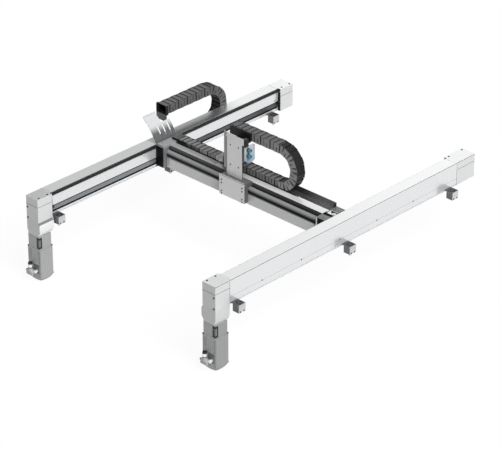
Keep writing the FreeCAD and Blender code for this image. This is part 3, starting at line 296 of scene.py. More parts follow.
# Painted shade behind the motors' plugs
MOTOR_SHADE = MOTOR_CAST.tinted("motor_painted_shade", 0.13, 0.13, 0.135)
DARK_ANODISED = Finish(
    "carriage_dark_anodised", (0.006, 0.006, 0.007), 0.05, 0.42, Grain.ALONG_Y, 0.10, 0.06, specular=0.05)
PLATE_GREY = Finish("right_top_plate_grey", (0.15, 0.15, 0.155), 0.10, 0.36, Grain.ALONG_Y, 0.08, 0.04)
END_PLATE_GREY = Finish("end_plate_grey", (0.19, 0.195, 0.20), 0.10, 0.36, Grain.ALONG_Z, 0.08, 0.04)
# Painted shade: the rail steel grades darker towards the far end
RAIL_STEEL = Finish(
    "ground_rail_steel", (0.22, 0.23, 0.24), 0.25, 0.34, Grain.ALONG_Y, 0.10, 0.04,
    grade=("Y", -0.150, 0.150), far_colour=(0.075, 0.075, 0.08))
CROSS_RAIL_STEEL = Finish("cross_rail_steel", (0.22, 0.23, 0.24), 0.35, 0.34, Grain.ALONG_X, 0.10, 0.04)
CARRIER_STEEL = Finish(
    "carrier_dark_steel", (0.13, 0.13, 0.135), 0.25, 0.40, Grain.ALONG_Z, 0.12, 0.06, specular=0.12)
BRIGHT_STEEL = Finish("turned_bright_steel", (0.62, 0.62, 0.63), 0.85, 0.22, Grain.ALONG_Z, 0.08, 0.03)
BLACK_OXIDE = Finish(
    "black_oxide_steel", (0.035, 0.035, 0.038), 0.5, 0.38, Grain.BLASTED, 0.15, 0.08, specular=0.12)
SEAM_SHADE = Finish("seam_shade", (0.16, 0.16, 0.17), 0.0, 0.6, Grain.BLASTED, 0.05, 0.04, specular=0.12)
FOOT_DARK = Finish(
    "foot_dark_steel", (0.07, 0.07, 0.075), 0.25, 0.42, Grain.ALONG_Y, 0.12, 0.06, specular=0.12)
# Painted light: a pale grey for the feet's outer face
FOOT_LIT = Finish("foot_outer_painted_light", (0.55, 0.56, 0.57), 0.15, 0.38, Grain.ALONG_Y, 0.06, 0.05)
FOOT_TOP = Finish("foot_top_grey", (0.06, 0.06, 0.062), 0.15, 0.42, Grain.ALONG_Y, 0.12, 0.06)
# Painted light: a lighter grey for the feet's lower near faces
FOOT_SIDE = FOOT_TOP.tinted("foot_side_grey", 0.16, 0.16, 0.165)
PLATE_BLASTED = Finish("blasted_plate", (0.90, 0.90, 0.90), 0.10, 0.42, Grain.BLASTED, 0.06, 0.04)
TOP_PLATE = Finish("top_plate_anodised", (0.34, 0.345, 0.35), 0.10, 0.36, Grain.ALONG_Y, 0.06, 0.04)
# Painted shade: the cross beam's top strip is darker at the left, near the duct, and grades lighter to the
# right
STRIP_GREY = Finish(
    "cross_top_strip_grey", (0.42, 0.425, 0.43), 0.20, 0.26, Grain.ALONG_X, 0.05, 0.03,
    grade=("X", -0.100, 0.080), far_colour=(0.80, 0.80, 0.80))
# Painted shade on the tray's rear wall and floor, lighter towards the right
TRAY_SHADE = Finish(
    "tray_wall_painted_shade", (0.025, 0.025, 0.026), 0.0, 0.40, Grain.ALONG_X, 0.08, 0.04,
    grade=("X", 0.290, 0.460), far_colour=(0.11, 0.11, 0.112), specular=0.15)
# Painted shade in the groove behind the front belt and on the strip along the front plate's top, darker
# towards the right
GROOVE_SHADE_GREY = Finish(
    "cross_groove_painted_shade", (0.17, 0.17, 0.175), 0.1, 0.5, Grain.ALONG_X, 0.10, 0.05,
    grade=("X", -0.400, 0.400), far_colour=(0.075, 0.075, 0.077), specular=0.15)
GROOVE_DARK = Finish(
    "groove_shadow_anodised", (0.022, 0.022, 0.024), 0.1, 0.5, Grain.ALONG_X, 0.10, 0.05, specular=0.12)
# Painted light and shade: the bent sheet is dark low on its curve and grades light towards the top
SHEET_BENT = Finish(
    "bent_sheet_painted_light_and_shade", (0.10, 0.102, 0.105), 0.15, 0.34, Grain.ALONG_Y, 0.06, 0.04,
    grade=("Z", TOP + 0.040, TOP + 0.080), far_colour=(0.60, 0.61, 0.62))
SHEET_STEEL = Finish("folded_sheet_steel", (0.45, 0.46, 0.47), 0.25, 0.34, Grain.ALONG_Y, 0.07, 0.04)
# Greys of painted light and shade for the chains' dark plastic: lighter near plates on the cross chain, a
# darker grey on its lower run, lighter upward faces on the bars
CHAIN_FRONT_LIT = Finish(
    "chain_front_painted_light", (0.34, 0.34, 0.345), 0.0, 0.42, Grain.MOULDED, 0.18, 0.14, 0.25, specular=0.2)
CHAIN_SIDE = CHAIN_FRONT_LIT.tinted("chain_side_plastic", 0.105, 0.105, 0.108)
CHAIN_MID_SHADE = CHAIN_FRONT_LIT.tinted("chain_mid_painted_shade", 0.20, 0.20, 0.205)
CHAIN_BARS_LIT = Finish(
    "chain_bars_painted_light", (0.20, 0.20, 0.203), 0.0, 0.40, Grain.MOULDED, 0.18, 0.12, 0.25, specular=0.2)
CHAIN_TOP_LIT = CHAIN_BARS_LIT.tinted("chain_top_painted_light", 0.105, 0.105, 0.108)
# Painted shade on the duct's plates near its left end; painted light on the end piece's top and the end
# frame's lower near faces
CHAIN_SHADED = Finish(
    "chain_shaded_plastic", (0.085, 0.085, 0.088), 0.0, 0.42, Grain.MOULDED, 0.18, 0.14, 0.25)
CHAIN_DARK = Finish(
    "chain_dark_plastic", (0.016, 0.016, 0.017), 0.0, 0.38, Grain.MOULDED, 0.18, 0.12, 0.25, specular=0.10)
BELT_RUBBER = Finish(
    "belt_rubber", (0.022, 0.022, 0.023), 0.0, 0.62, Grain.MOULDED, 0.2, 0.15, 0.3, specular=0.12)
BUFFER_RUBBER = Finish(
    "buffer_rubber", (0.018, 0.018, 0.018), 0.0, 0.7, Grain.MOULDED, 0.2, 0.15, 0.3, specular=0.12)
# Painted light: the front belt strands take a lighter grey than the belt, grading darker towards the right
BELT_FRONT_LIT = Finish(
    "front_belt_painted_light", (0.10, 0.10, 0.103), 0.0, 0.62, Grain.MOULDED, 0.2, 0.15, 0.3,
    grade=("X", -0.350, 0.450), far_colour=(0.045, 0.045, 0.047), specular=0.12)
WINDOW_GREY = Finish("window_grey", (0.20, 0.20, 0.205), 0.0, 0.60, Grain.ALONG_Z, 0.10, 0.06, specular=0.1)
TEAL_PLASTIC = Finish(
    "fitting_teal_plastic", (0.035, 0.24, 0.28), 0.0, 0.25, Grain.MOULDED, 0.05, 0.04, 0.05, 0.2)
TEAL_DARK = Finish("fitting_dark_teal", (0.02, 0.09, 0.12), 0.1, 0.3, Grain.MOULDED, 0.05, 0.04, 0.05, 0.2)
PALE_BLUE = Finish(
    "connector_pale_blue", (0.40, 0.52, 0.66), 0.05, 0.35, Grain.BLASTED, 0.05, 0.04,
    grade=("Z", TOP + 0.105, TOP + 0.150), far_colour=(0.58, 0.57, 0.62))
NICKEL = Finish("plug_nickel", (0.90, 0.90, 0.89), 0.60, 0.24, Grain.ALONG_Z, 0.06, 0.04)
PLUG_GREY = Finish("plug_cast_grey", (0.46, 0.46, 0.47), 0.1, 0.38, Grain.BLASTED, 0.08, 0.05)
# Painted highlight: the nose cover is pale along its top and fades to dark below
NOSE_HIGHLIGHT = Finish(
    "nose_cover_painted_highlight", (0.008, 0.008, 0.009), 0.10, 0.34, Grain.ALONG_X, 0.06, 0.03,
    grade=("Z", TOP - 0.044, TOP - 0.025), far_colour=(0.30, 0.305, 0.31), specular=0.08)


def any_face(centre: Vector, normal: Vector) -> bool:
    """Let every face pass."""
    return True


def facing(
    way: Point, where: Callable[[Vector], bool] = lambda spot: True, least: float = MOSTLY,
) -> FaceTest:
    """Make a test for the faces that look one way.

    Args:
        way: The way that they look.
        where: A further test, of a face's centre.
        least: How much of the normal goes that way at least.

    Returns:
        The test of a face's centre and normal.
    """
    return lambda centre, normal: normal.dot(Vector(way)) > least and where(centre)


def deselect() -> None:
    """Deselect every object."""
    bpy.ops.object.select_all(action="DESELECT")


def make_active(piece: bpy.types.Object) -> None:
    """Select one piece alone and make it the active one.

    Args:
        piece: The piece.
    """
    deselect()
    piece.select_set(True)
    bpy.context.view_layer.objects.active = piece


def put(name: str, data: bpy.types.ID) -> bpy.types.Object:
    """Put a new object with its data into the scene.

    Args:
        name: The object's name.
        data: Its mesh, camera or lamp.

    Returns:
        The object.
    """
    made = bpy.data.objects.new(name, data)
    bpy.context.scene.collection.objects.link(made)
    return made


class Workpiece:
    """One mesh that is shaped by hand tools, from a primitive to the finished piece."""

    def __init__(self, piece: bpy.types.Object) -> None:
        """Take an object whose place is in its mesh."""
        self.piece = piece

    @classmethod
    def primitive(cls, name: str, add: Callable[..., object], **shape: object) -> "Workpiece":
        """Start from a primitive and put its place in its mesh.

        Args:
            name: The piece's name.
            add: The operator that adds the primitive.
            shape: The operator's settings.

        Returns:
            The workpiece.
        """
        deselect()
        add(**shape)
        piece = bpy.context.active_object
        piece.name = name
        bpy.ops.object.transform_apply(location=True, rotation=True, scale=True)
        return cls(piece)

    @classmethod
    def block(cls, name: str, low: Point, high: Point) -> "Workpiece":
        """Start from a block between two opposite corners, in any order.

        Args:
            name: The piece's name.
            low: One corner.
            high: The opposite corner.

        Returns:
            The workpiece.
        """
        middle = tuple((a + b) / 2 for a, b in zip(low, high))
        size = tuple(abs(b - a) for a, b in zip(low, high))
        return cls.primitive(name, bpy.ops.mesh.primitive_cube_add, size=1, location=middle, scale=size)

    @classmethod
    def blocks(cls, name: str, boxes: Sequence[Corners]) -> "Workpiece":
        """Start from several blocks, joined under one name."""
        return cls.merged(name, [cls.block(name, *box) for box in boxes])

    @classmethod
    def disc(cls, name: str, radius: float, start: Point, way: Point, sides: int = 32) -> "Workpiece":
        """Start from a cylinder that stands on a point.

        Args:
            name: The piece's name.
            radius: The radius.
            start: The centre of the lower end.
            way: The vector from the lower end to the upper one.
            sides: How many flats the cylinder has.

        Returns:
            The workpiece.
        """
        along = Vector(way)
        return cls.primitive(
            name, bpy.ops.mesh.primitive_cylinder_add, vertices=sides, radius=radius, depth=along.length,
            location=Vector(start) + along / 2, rotation=along.to_track_quat("Z", "Y").to_euler())

    @classmethod
    def copy_of(cls, name: str, node: bpy.types.Object) -> "Workpiece":
        """Start from a merged copy of a fixed piece, with its flat faces whole again.

        Args:
            name: The new piece's name.
            node: The fixed piece.

        Returns:
            The workpiece.
        """
        piece = put(name, node.data.copy())
        make_active(piece)
        bpy.ops.object.mode_set(mode="EDIT")
        bpy.ops.mesh.select_all(action="SELECT")
        bpy.ops.mesh.remove_doubles(threshold=0.00002)
        bpy.ops.mesh.dissolve_limited(angle_limit=math.radians(2))
        bpy.ops.object.mode_set(mode="OBJECT")
        return cls(piece)

    @classmethod
    def merged(cls, name: str, parts: Sequence["Workpiece"]) -> "Workpiece":
        """Join workpieces into the first one, which takes the name.

        Args:
            name: The name.
            parts: The workpieces.

        Returns:
            The first one.
        """
        whole = parts[0]
        make_active(whole.piece)
        for other in parts[1:]:
            other.piece.select_set(True)
        if len(parts) > 1:
            bpy.ops.object.join()
        whole.piece.name = name
        return whole

    def select_faces(self, test: FaceTest) -> int:
        """Select the faces that pass a test, and nothing else.

        Args:
            test: Takes a face's centre and normal.

        Returns:
            How many faces are selected.
        """
        make_active(self.piece)
        mesh = self.piece.data
        for part in (*mesh.vertices, *mesh.edges, *mesh.polygons):
            part.select = False
        chosen = [face for face in mesh.polygons if test(face.center, face.normal)]
        for face in chosen:
            face.select = True
        return len(chosen)

    def edit(self, test: FaceTest, step: Callable[..., object], **settings: object) -> "Workpiece":
        """Run one edit-mode step on the faces that pass a test.

        Args:
            test: Takes a face's centre and normal.
            step: The operator.
            settings: The operator's settings.

        Returns:
            The same workpiece.
        """
        if self.select_faces(test):
            bpy.ops.object.mode_set(mode="EDIT")
            bpy.ops.mesh.select_mode(type="FACE")
            step(**settings)
            bpy.ops.object.mode_set(mode="OBJECT")
        return self

    def sink(self, test: FaceTest, rim: float, depth: float) -> "Workpiece":
        """Leave a rim round the faces that pass a test, and sink what is inside it by the depth."""
        return self.edit(test, bpy.ops.mesh.inset, thickness=rim, depth=-depth)

    def bisected(self, spot: Point, way: Point, **options: bool) -> "Workpiece":
        """Cut the mesh along the plane through a spot that a way stands upright on."""
        return self.edit(any_face, bpy.ops.mesh.bisect, plane_co=spot, plane_no=way, **options)

    def subdivided(self, cuts: int) -> "Workpiece":
        """Divide every face by the number of cuts."""
        return self.edit(any_face, bpy.ops.mesh.subdivide, number_cuts=cuts)

    def modifier(self, kind: str, **values: object) -> "Workpiece":
        """Add one modifier of a kind with its values, and apply it.

        Args:
            kind: The modifier's type.
            values: Its settings.

        Returns:
            The same workpiece.
        """
        make_active(self.piece)
        made = self.piece.modifiers.new(kind.lower(), kind)
        for name, value in values.items():
            setattr(made, name, value)
        bpy.ops.object.modifier_apply(modifier=made.name)
        return self

    def ease(self, width: float, segments: int = 2) -> "Workpiece":
        """Round the sharp edges over a width, with a number of faces."""
        return self.modifier(
            "BEVEL", width=width, segments=segments, limit_method="ANGLE", angle_limit=SHARP,
            use_clamp_overlap=True, harden_normals=False)

    def rowed(self, count: int, step: Point) -> "Workpiece":
        """Repeat the piece in a row, a step apart."""
        return self.modifier(
            "ARRAY", count=count, use_relative_offset=False, use_constant_offset=True,
            constant_offset_displace=step)

    def smooth(self, angle: float = SHARP) -> "Workpiece":
        """Shade the curved faces smoothly."""
        make_active(self.piece)
        bpy.ops.object.shade_smooth_by_angle(angle=angle)
        return self

    def repeated(self, name: str, places: Sequence[Matrix]) -> "Workpiece":
        """Copy the workpiece to several places and join the copies; the first one goes.

        Args:
            name: The name of the joined piece.
            places: One matrix for each copy.

        Returns:
            The joined workpiece.
        """
        copies = [Workpiece(put(f"{name}_{number}", self.piece.data.copy())) for number in range(len(places))]
        for copy, place in zip(copies, places):
            copy.piece.data.transform(place)
        bpy.data.objects.remove(self.piece)
        return Workpiece.merged(name, copies)

    def finished(self, finish: Finish) -> "Workpiece":
        """Give the whole piece one finish."""
        self.piece.data.materials.clear()
        self.piece.data.materials.append(finish.material())
        return self

    def finish_faces(self, finish: Finish, test: FaceTest) -> "Workpiece":
        """Give the faces that pass a test another finish.

        Args:
            finish: The finish.
            test: Takes a face's centre and normal.

        Returns:
            The same workpiece.
        """
        self.piece.data.materials.append(finish.material())
        number = len(self.piece.data.materials) - 1
        for face in self.piece.data.polygons:
            if test(face.center, face.normal):
                face.material_index = number
        return self

    def ride(self, body: str, slot: str, *stands_for: str) -> None:
        """Hang the piece on a body.

        Args:
            body: The body's name.
            slot: The record's material slot; not used.
            stands_for: The fixed pieces that this one stands for.
        """
        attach(self.piece, body)
        if stands_for:
            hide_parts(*stands_for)
        LOG.info("%s rides on %s with %d faces", self.piece.name, body, len(self.piece.data.polygons))

    def stretch(self, slot: str, bodies: tuple[str, str], start: Point, end: Point, *stands_for: str) -> None:
        """Bake the piece's place into its mesh, hide the pieces that it stands for and log the two bodies.

        Args:
            slot: The record's material slot; not used.
            bodies: The body at the start and the one at the end; they are only logged.
            start: The point before which the first body is followed; not used.
            end: The point after which the second body is followed; not used.
            stands_for: The fixed pieces that this one stands for.
        """
        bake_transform(self.piece)
        if stands_for:
            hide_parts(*stands_for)
        LOG.info("%s stretches from %s to %s", self.piece.name, *bodies)


class Dresser:
    """Gives the fixed pieces their finish, on a copy with eased edges or on the piece itself."""

    def __init__(self, frame: dict) -> None:
        """Keep the loaded frame."""
        self.nodes = frame["nodes"]
        self.slots = {row["node"]: row["material_slot"] for row in frame["record"]["subparts"]}
        bodies = frame["record"]["behaviour"]["bodies"]
        self.bodies = {node: body for body, nodes in bodies.items() for node in nodes}

    def paint(self, finish: Finish, *nodes: str) -> None:
        """Give fixed pieces a finish as they stand.

        Args:
            finish: The finish.
            nodes: The names of the fixed pieces.
        """
        for node in nodes:
            for slot in self.nodes[node].material_slots:
                slot.material = finish.material()
            LOG.info("%s is finished as %s", node, finish.name)

    def eased(self, node: str, finish: Finish, shape: Shape = Shape.EASED) -> Workpiece:
        """Stand a copy with eased edges in for a fixed piece.

        Args:
            node: The fixed piece's name.
            finish: The finish of the copy.
            shape: How far its edges are eased.

        Returns:
            The copy, already riding on the body of the fixed piece.
        """
        copy = Workpiece.copy_of(f"{node}_dressed", self.nodes[node])
        copy.ease(shape.value).smooth().modifier("WEIGHTED_NORMAL", keep_sharp=True).finished(finish)
        copy.ride(self.bodies[node], self.slots[node], node)
        return copy


@dataclass
class Assembly:
    """A group of pieces that is dressed and completed together."""

    dresser: Dresser


@dataclass
class Screws:
    """Socket-head screws, modelled once for each kind and copied to their places."""

    head_radius: float = 0.0042
    head_height: float = 0.0016
    head_root: float = 0.0006
    socket_radius: float = 0.0022

    def screw(self, name: str, radius: float) -> Workpiece:
        """Model one screw head on the origin, pointing along +Z.

        Args:
            name: The piece's name.
            radius: The radius of the head.

        Returns:
            The screw head.
        """
        root = self.head_root
        head = Workpiece.disc(name, radius, (0, 0, -root), (0, 0, self.head_height + root), 24)
        inner = radius * self.socket_radius / self.head_radius
        head.sink(facing(UP, least=SQUARELY), radius - inner, 0)
        head.sink(facing(UP, lambda spot: spot.length < inner, SQUARELY), 0.0001, 0.0014)
        return head.ease(0.00025, 1).smooth().finished(BLACK_OXIDE)

    def place(self, name: str, body: str, radius: float, spots: Sequence[Corners], *nodes: str) -> None:
        """Copy a screw head to its spots.

        Args:
            name: The name of the joined screws.
            body: The body that they ride on.
            radius: The radius of each head.
            spots: Pairs of a point and the way that the head points.
            nodes: The fixed pieces that the screws stand for.
        """
        places = [
            Matrix.Translation(point) @ Vector(way).to_track_quat("Z", "Y").to_matrix().to_4x4()
            for point, way in spots
        ]
        self.screw(f"{name}_head", radius).repeated(name, places).ride(body, "steel_dark", *nodes)

    def build(self) -> None:
        """Model all visible screws."""
        lids = [
            ((side * BELT_LINE, y, TOP), UP)
            for side, far in ((-1, 0.903), (1, 0.946))
            for y in (NEAR_FACE + 0.019, BEAM_START - 0.020, BEAM_END + 0.021, far)
        ]
        faces = [((side * 0.633, NEAR_FACE, TOP - drop), NEAR) for side in SIDES for drop in (0.060, 0.118)]
        walls = [
            ((side * (AXIS + BEAM_HALF), BEAM_START + 0.214 + 0.267 * number, TOP - 0.089), (side, 0, 0))
            for side in SIDES for number in range(5)
        ]
        plate = [
            ((x, -0.087, TOP + 0.006 - row), NEAR)
            for x in (-0.098, 0.042) for row in (0.023, 0.041, 0.085, 0.100)
        ]
        self.place("cover_screw_heads", "fixed_frame", 0.0050, lids + faces, "cover_screws")
        self.place("wall_screw_heads", "fixed_frame", 0.0030, walls)
        self.place("slide_plate_screws", "slide", 0.0040, plate)


@dataclass
class FixedBeams(Assembly):
    """Both fixed beams with their covers, rails, heads, housings and feet."""

    seam_width: float = 0.0024
    seam_proud: float = 0.0003
    cover_split: float = -0.070
    arc_radius: float = 0.0857
    arc_bulge: float = 0.011
    foot_step: float = 0.758

    def build(self) -> None:
        """Dress the beams, split the left cover's finish and add seams, arcs and feet."""
        eased = self.dresser.eased
        for word in HANDS:
            profile = eased(f"{word}_beam_profile", BEAM_ANODISED, Shape.CRISP)
            # Painted shade inside the belt and rail channels
            profile.finish_faces(GROOVE_DARK, self.in_channel)
        covers = eased("beam_top_covers", COVER_ANODISED, Shape.CRISP).bisected((0, self.cover_split, 0), FAR)
        # Painted reflection on the left cover: a grade from dark to pale beyond the split, a darker grey
        # before it
        covers.finish_faces(COVER_LEFT_REFLECTION, lambda centre, normal: centre.x < 0 and centre.y > self.cover_split)
        covers.finish_faces(COVER_NEAR_REFLECTION, lambda centre, normal: centre.x < 0 and centre.y < self.cover_split)
        heads = {
            node: eased(node, HEAD_MACHINED, Shape.SOFT)
            for node in ("drive_heads", "drive_head_lids", "idler_heads", "idler_head_lids")
        }
        # Painted shade on the left drive lids' tops, painted light on the idler lids' tops
        heads["drive_head_lids"].finish_faces(HEAD_TOP_LEFT_SHADE, facing(UP, lambda spot: spot.x < 0))
        heads["idler_head_lids"].finish_faces(PALE_PAINTED_LIGHT, facing(UP))
        housings = eased("coupling_housings", HOUSING_MACHINED, Shape.SOFT)
        recess = TOP - 0.138
        # Painted shade on the band below the heads, painted light on the left housing's right faces
        housings.finish_faces(
            HOUSING_SHADE, lambda centre, normal: centre.z > recess and abs(centre.x) < AXIS - 0.040)
        housings.finish_faces(PALE_PAINTED_LIGHT, facing(RIGHT, lambda spot: spot.x < 0 and spot.z < recess, 0.7))
        eased("stop_buffers", BUFFER_RUBBER, Shape.SOFT)
        eased("side_chain_tray", SHEET_STEEL, Shape.CRISP)
        self.dresser.paint(RAIL_STEEL, "beam_guide_rails")
        self.dresser.paint(BRIGHT_STEEL, "shaft_bearings", "frame_idler_axles")
        self.seams()
        self.arcs()
        self.feet()

    def in_channel(self, centre: Vector, normal: Vector) -> bool:
        """Say whether a face of a beam profile lies inside its belt channel or its rail channel.

        Args:
            centre: The face's centre.
            normal: Its normal.

        Returns:
            Whether it does.
        """
        across = abs(centre.x)
        belt = TOP - 0.0245 < centre.z < TOP - 0.001
        rail = TOP - 0.1115 < centre.z < TOP - 0.0745
        inside = across > AXIS - 0.0245 or abs(normal.z) > MOSTLY
        return across < AXIS - 0.0005 and (belt or rail) and inside

    def seams(self) -> None:
        """Lay the gasket under each cover's outer edge, the fold line and the joints of the heads."""
        lid, thin = TOP - 0.042, 0.0009
        low, high = lid - thin, lid + thin
        gaskets, lines, joints = [], [], []
        for side in SIDES:
            far = 0.918 if side < 0 else 0.961
            wall, inner, proud = side * (AXIS + BEAM_HALF), side * (AXIS - BEAM_HALF), side * self.seam_proud
            near, out = wall - side * 0.001, wall + proud
            gaskets.append(((near, NEAR_FACE, TOP - 0.0042), (out, far, TOP - 0.0042 + self.seam_width)))
            lines.append(((near, BEAM_START, TOP - 0.0900), (out, BEAM_END, TOP - 0.0888)))
            for y in (BEAM_START, BEAM_END):
                joints.append(((near, y - thin, TOP - 0.126), (out, y + thin, TOP - 0.004)))
            for start, end in ((NEAR_FACE, BEAM_START), (BEAM_END, far)):
                joints.append(((near, start, low), (out, end, high)))
                joints.append(((inner + side * 0.001, start, low), (inner - proud, end, high)))
            joints.append(((inner, NEAR_FACE + 0.001, low), (wall, NEAR_FACE - self.seam_proud, high)))
        for name, strips, finish, slot in (
            ("cover_gaskets", gaskets, BLACK_OXIDE, "rubber_black"),
            ("wall_fold_lines", lines, MOTOR_CAST, "anodised"),
            ("head_joints", joints, SEAM_SHADE, "anodised"),
        ):
            Workpiece.blocks(name, strips).ease(0.0002, 1).finished(finish).ride("fixed_frame", slot)

    def arcs(self) -> None:
        """Lay the curved joint between each cover and its heads."""
        arcs = []
        for side in SIDES:
            for end, way in ((BEAM_START, 1), (BEAM_END, -1)):
                arc = Workpiece.primitive(
                    "arc", bpy.ops.mesh.primitive_torus_add, major_segments=120, minor_segments=6,
                    location=(side * AXIS, end + way * (self.arc_bulge - self.arc_radius), TOP - 0.0003),
                    major_radius=self.arc_radius, minor_radius=0.0007)
                arcs.append(arc.bisected((0, end + way * self.seam_proud, 0), (0, way, 0), clear_inner=True))
        arc = Workpiece.merged("cover_arc_joints", arcs).finished(SEAM_SHADE).smooth()
        arc.ride("fixed_frame", "anodised")

    def feet(self) -> None:
        """Dress the feet: dark clamping tongue and top, near and outer faces lighter as painted light,
        clamping ring and bolts.
        """
        feet = Workpiece.copy_of("mounting_feet_dressed", self.dresser.nodes["mounting_feet"])
        feet.ease(Shape.EASED.value).smooth().finished(FOOT_DARK)
        feet.finish_faces(FOOT_TOP, facing(UP))
        # Painted light on the lower near faces and on the outer face
        feet.finish_faces(FOOT_SIDE, facing(NEAR, lambda spot: spot.z < 0.030))
        feet.finish_faces(FOOT_LIT, facing(RIGHT, lambda spot: spot.z < 0.038))
        mesh = feet.piece.data
        for index in {index for face in mesh.polygons if face.normal.x > 0.95 for index in face.vertices}:
            mesh.vertices[index].co.x -= 0.0003
        feet.ride("fixed_frame", "anodised", "mounting_feet")
        rings, tips, notches = [], [], []
        for side in SIDES:
            for offset in (-0.055, 0.072):
                for row in (-1, 0, 1):
                    x, y = side * (AXIS + offset), self.foot_step * row
                    rings.append(self.clamp_ring(x, y))
                    for middle in (y - 0.012, y + 0.012):
                        notches.append(Workpiece.block(
                            "notch", (x + 0.0190, middle - 0.0035, 0.0005),
                            (x + 0.0200, middle + 0.0035, 0.009)))
                    if offset < 0 or row == 0:
                        tip = Workpiece.disc("tip", 0.0065, (x + 0.008, y - 0.008, -0.012), (0, 0, 0.013), 6)
                        tips.append(tip.ease(0.0006, 1))
        for name, pieces, finish in (
            ("foot_clamp_rings", rings, BLACK_OXIDE), ("foot_bolt_tips", tips, NICKEL),
            ("foot_notches", notches, GROOVE_DARK),
        ):
            Workpiece.merged(name, pieces).finished(finish).smooth().ride("fixed_frame", "steel_dark")

    def clamp_ring(self, x: float, y: float) -> Workpiece:
        """Model the clamping ring on the foot whose axis is at x and y.

        Args:
            x: The axis along X.
            y: The axis along Y.

        Returns:
            The ring.
        """
        ring = Workpiece.disc("ring", 0.0165, (x, y, 0.0395), (0, 0, 0.0035))
        ring.sink(facing(UP, least=SQUARELY), 0.0075, 0.0)
        middle = facing(UP, lambda spot: math.hypot(spot.x - x, spot.y - y) < 0.005, SQUARELY)
        return ring.sink(middle, 0.0002, 0.0020).ease(0.0005, 1)


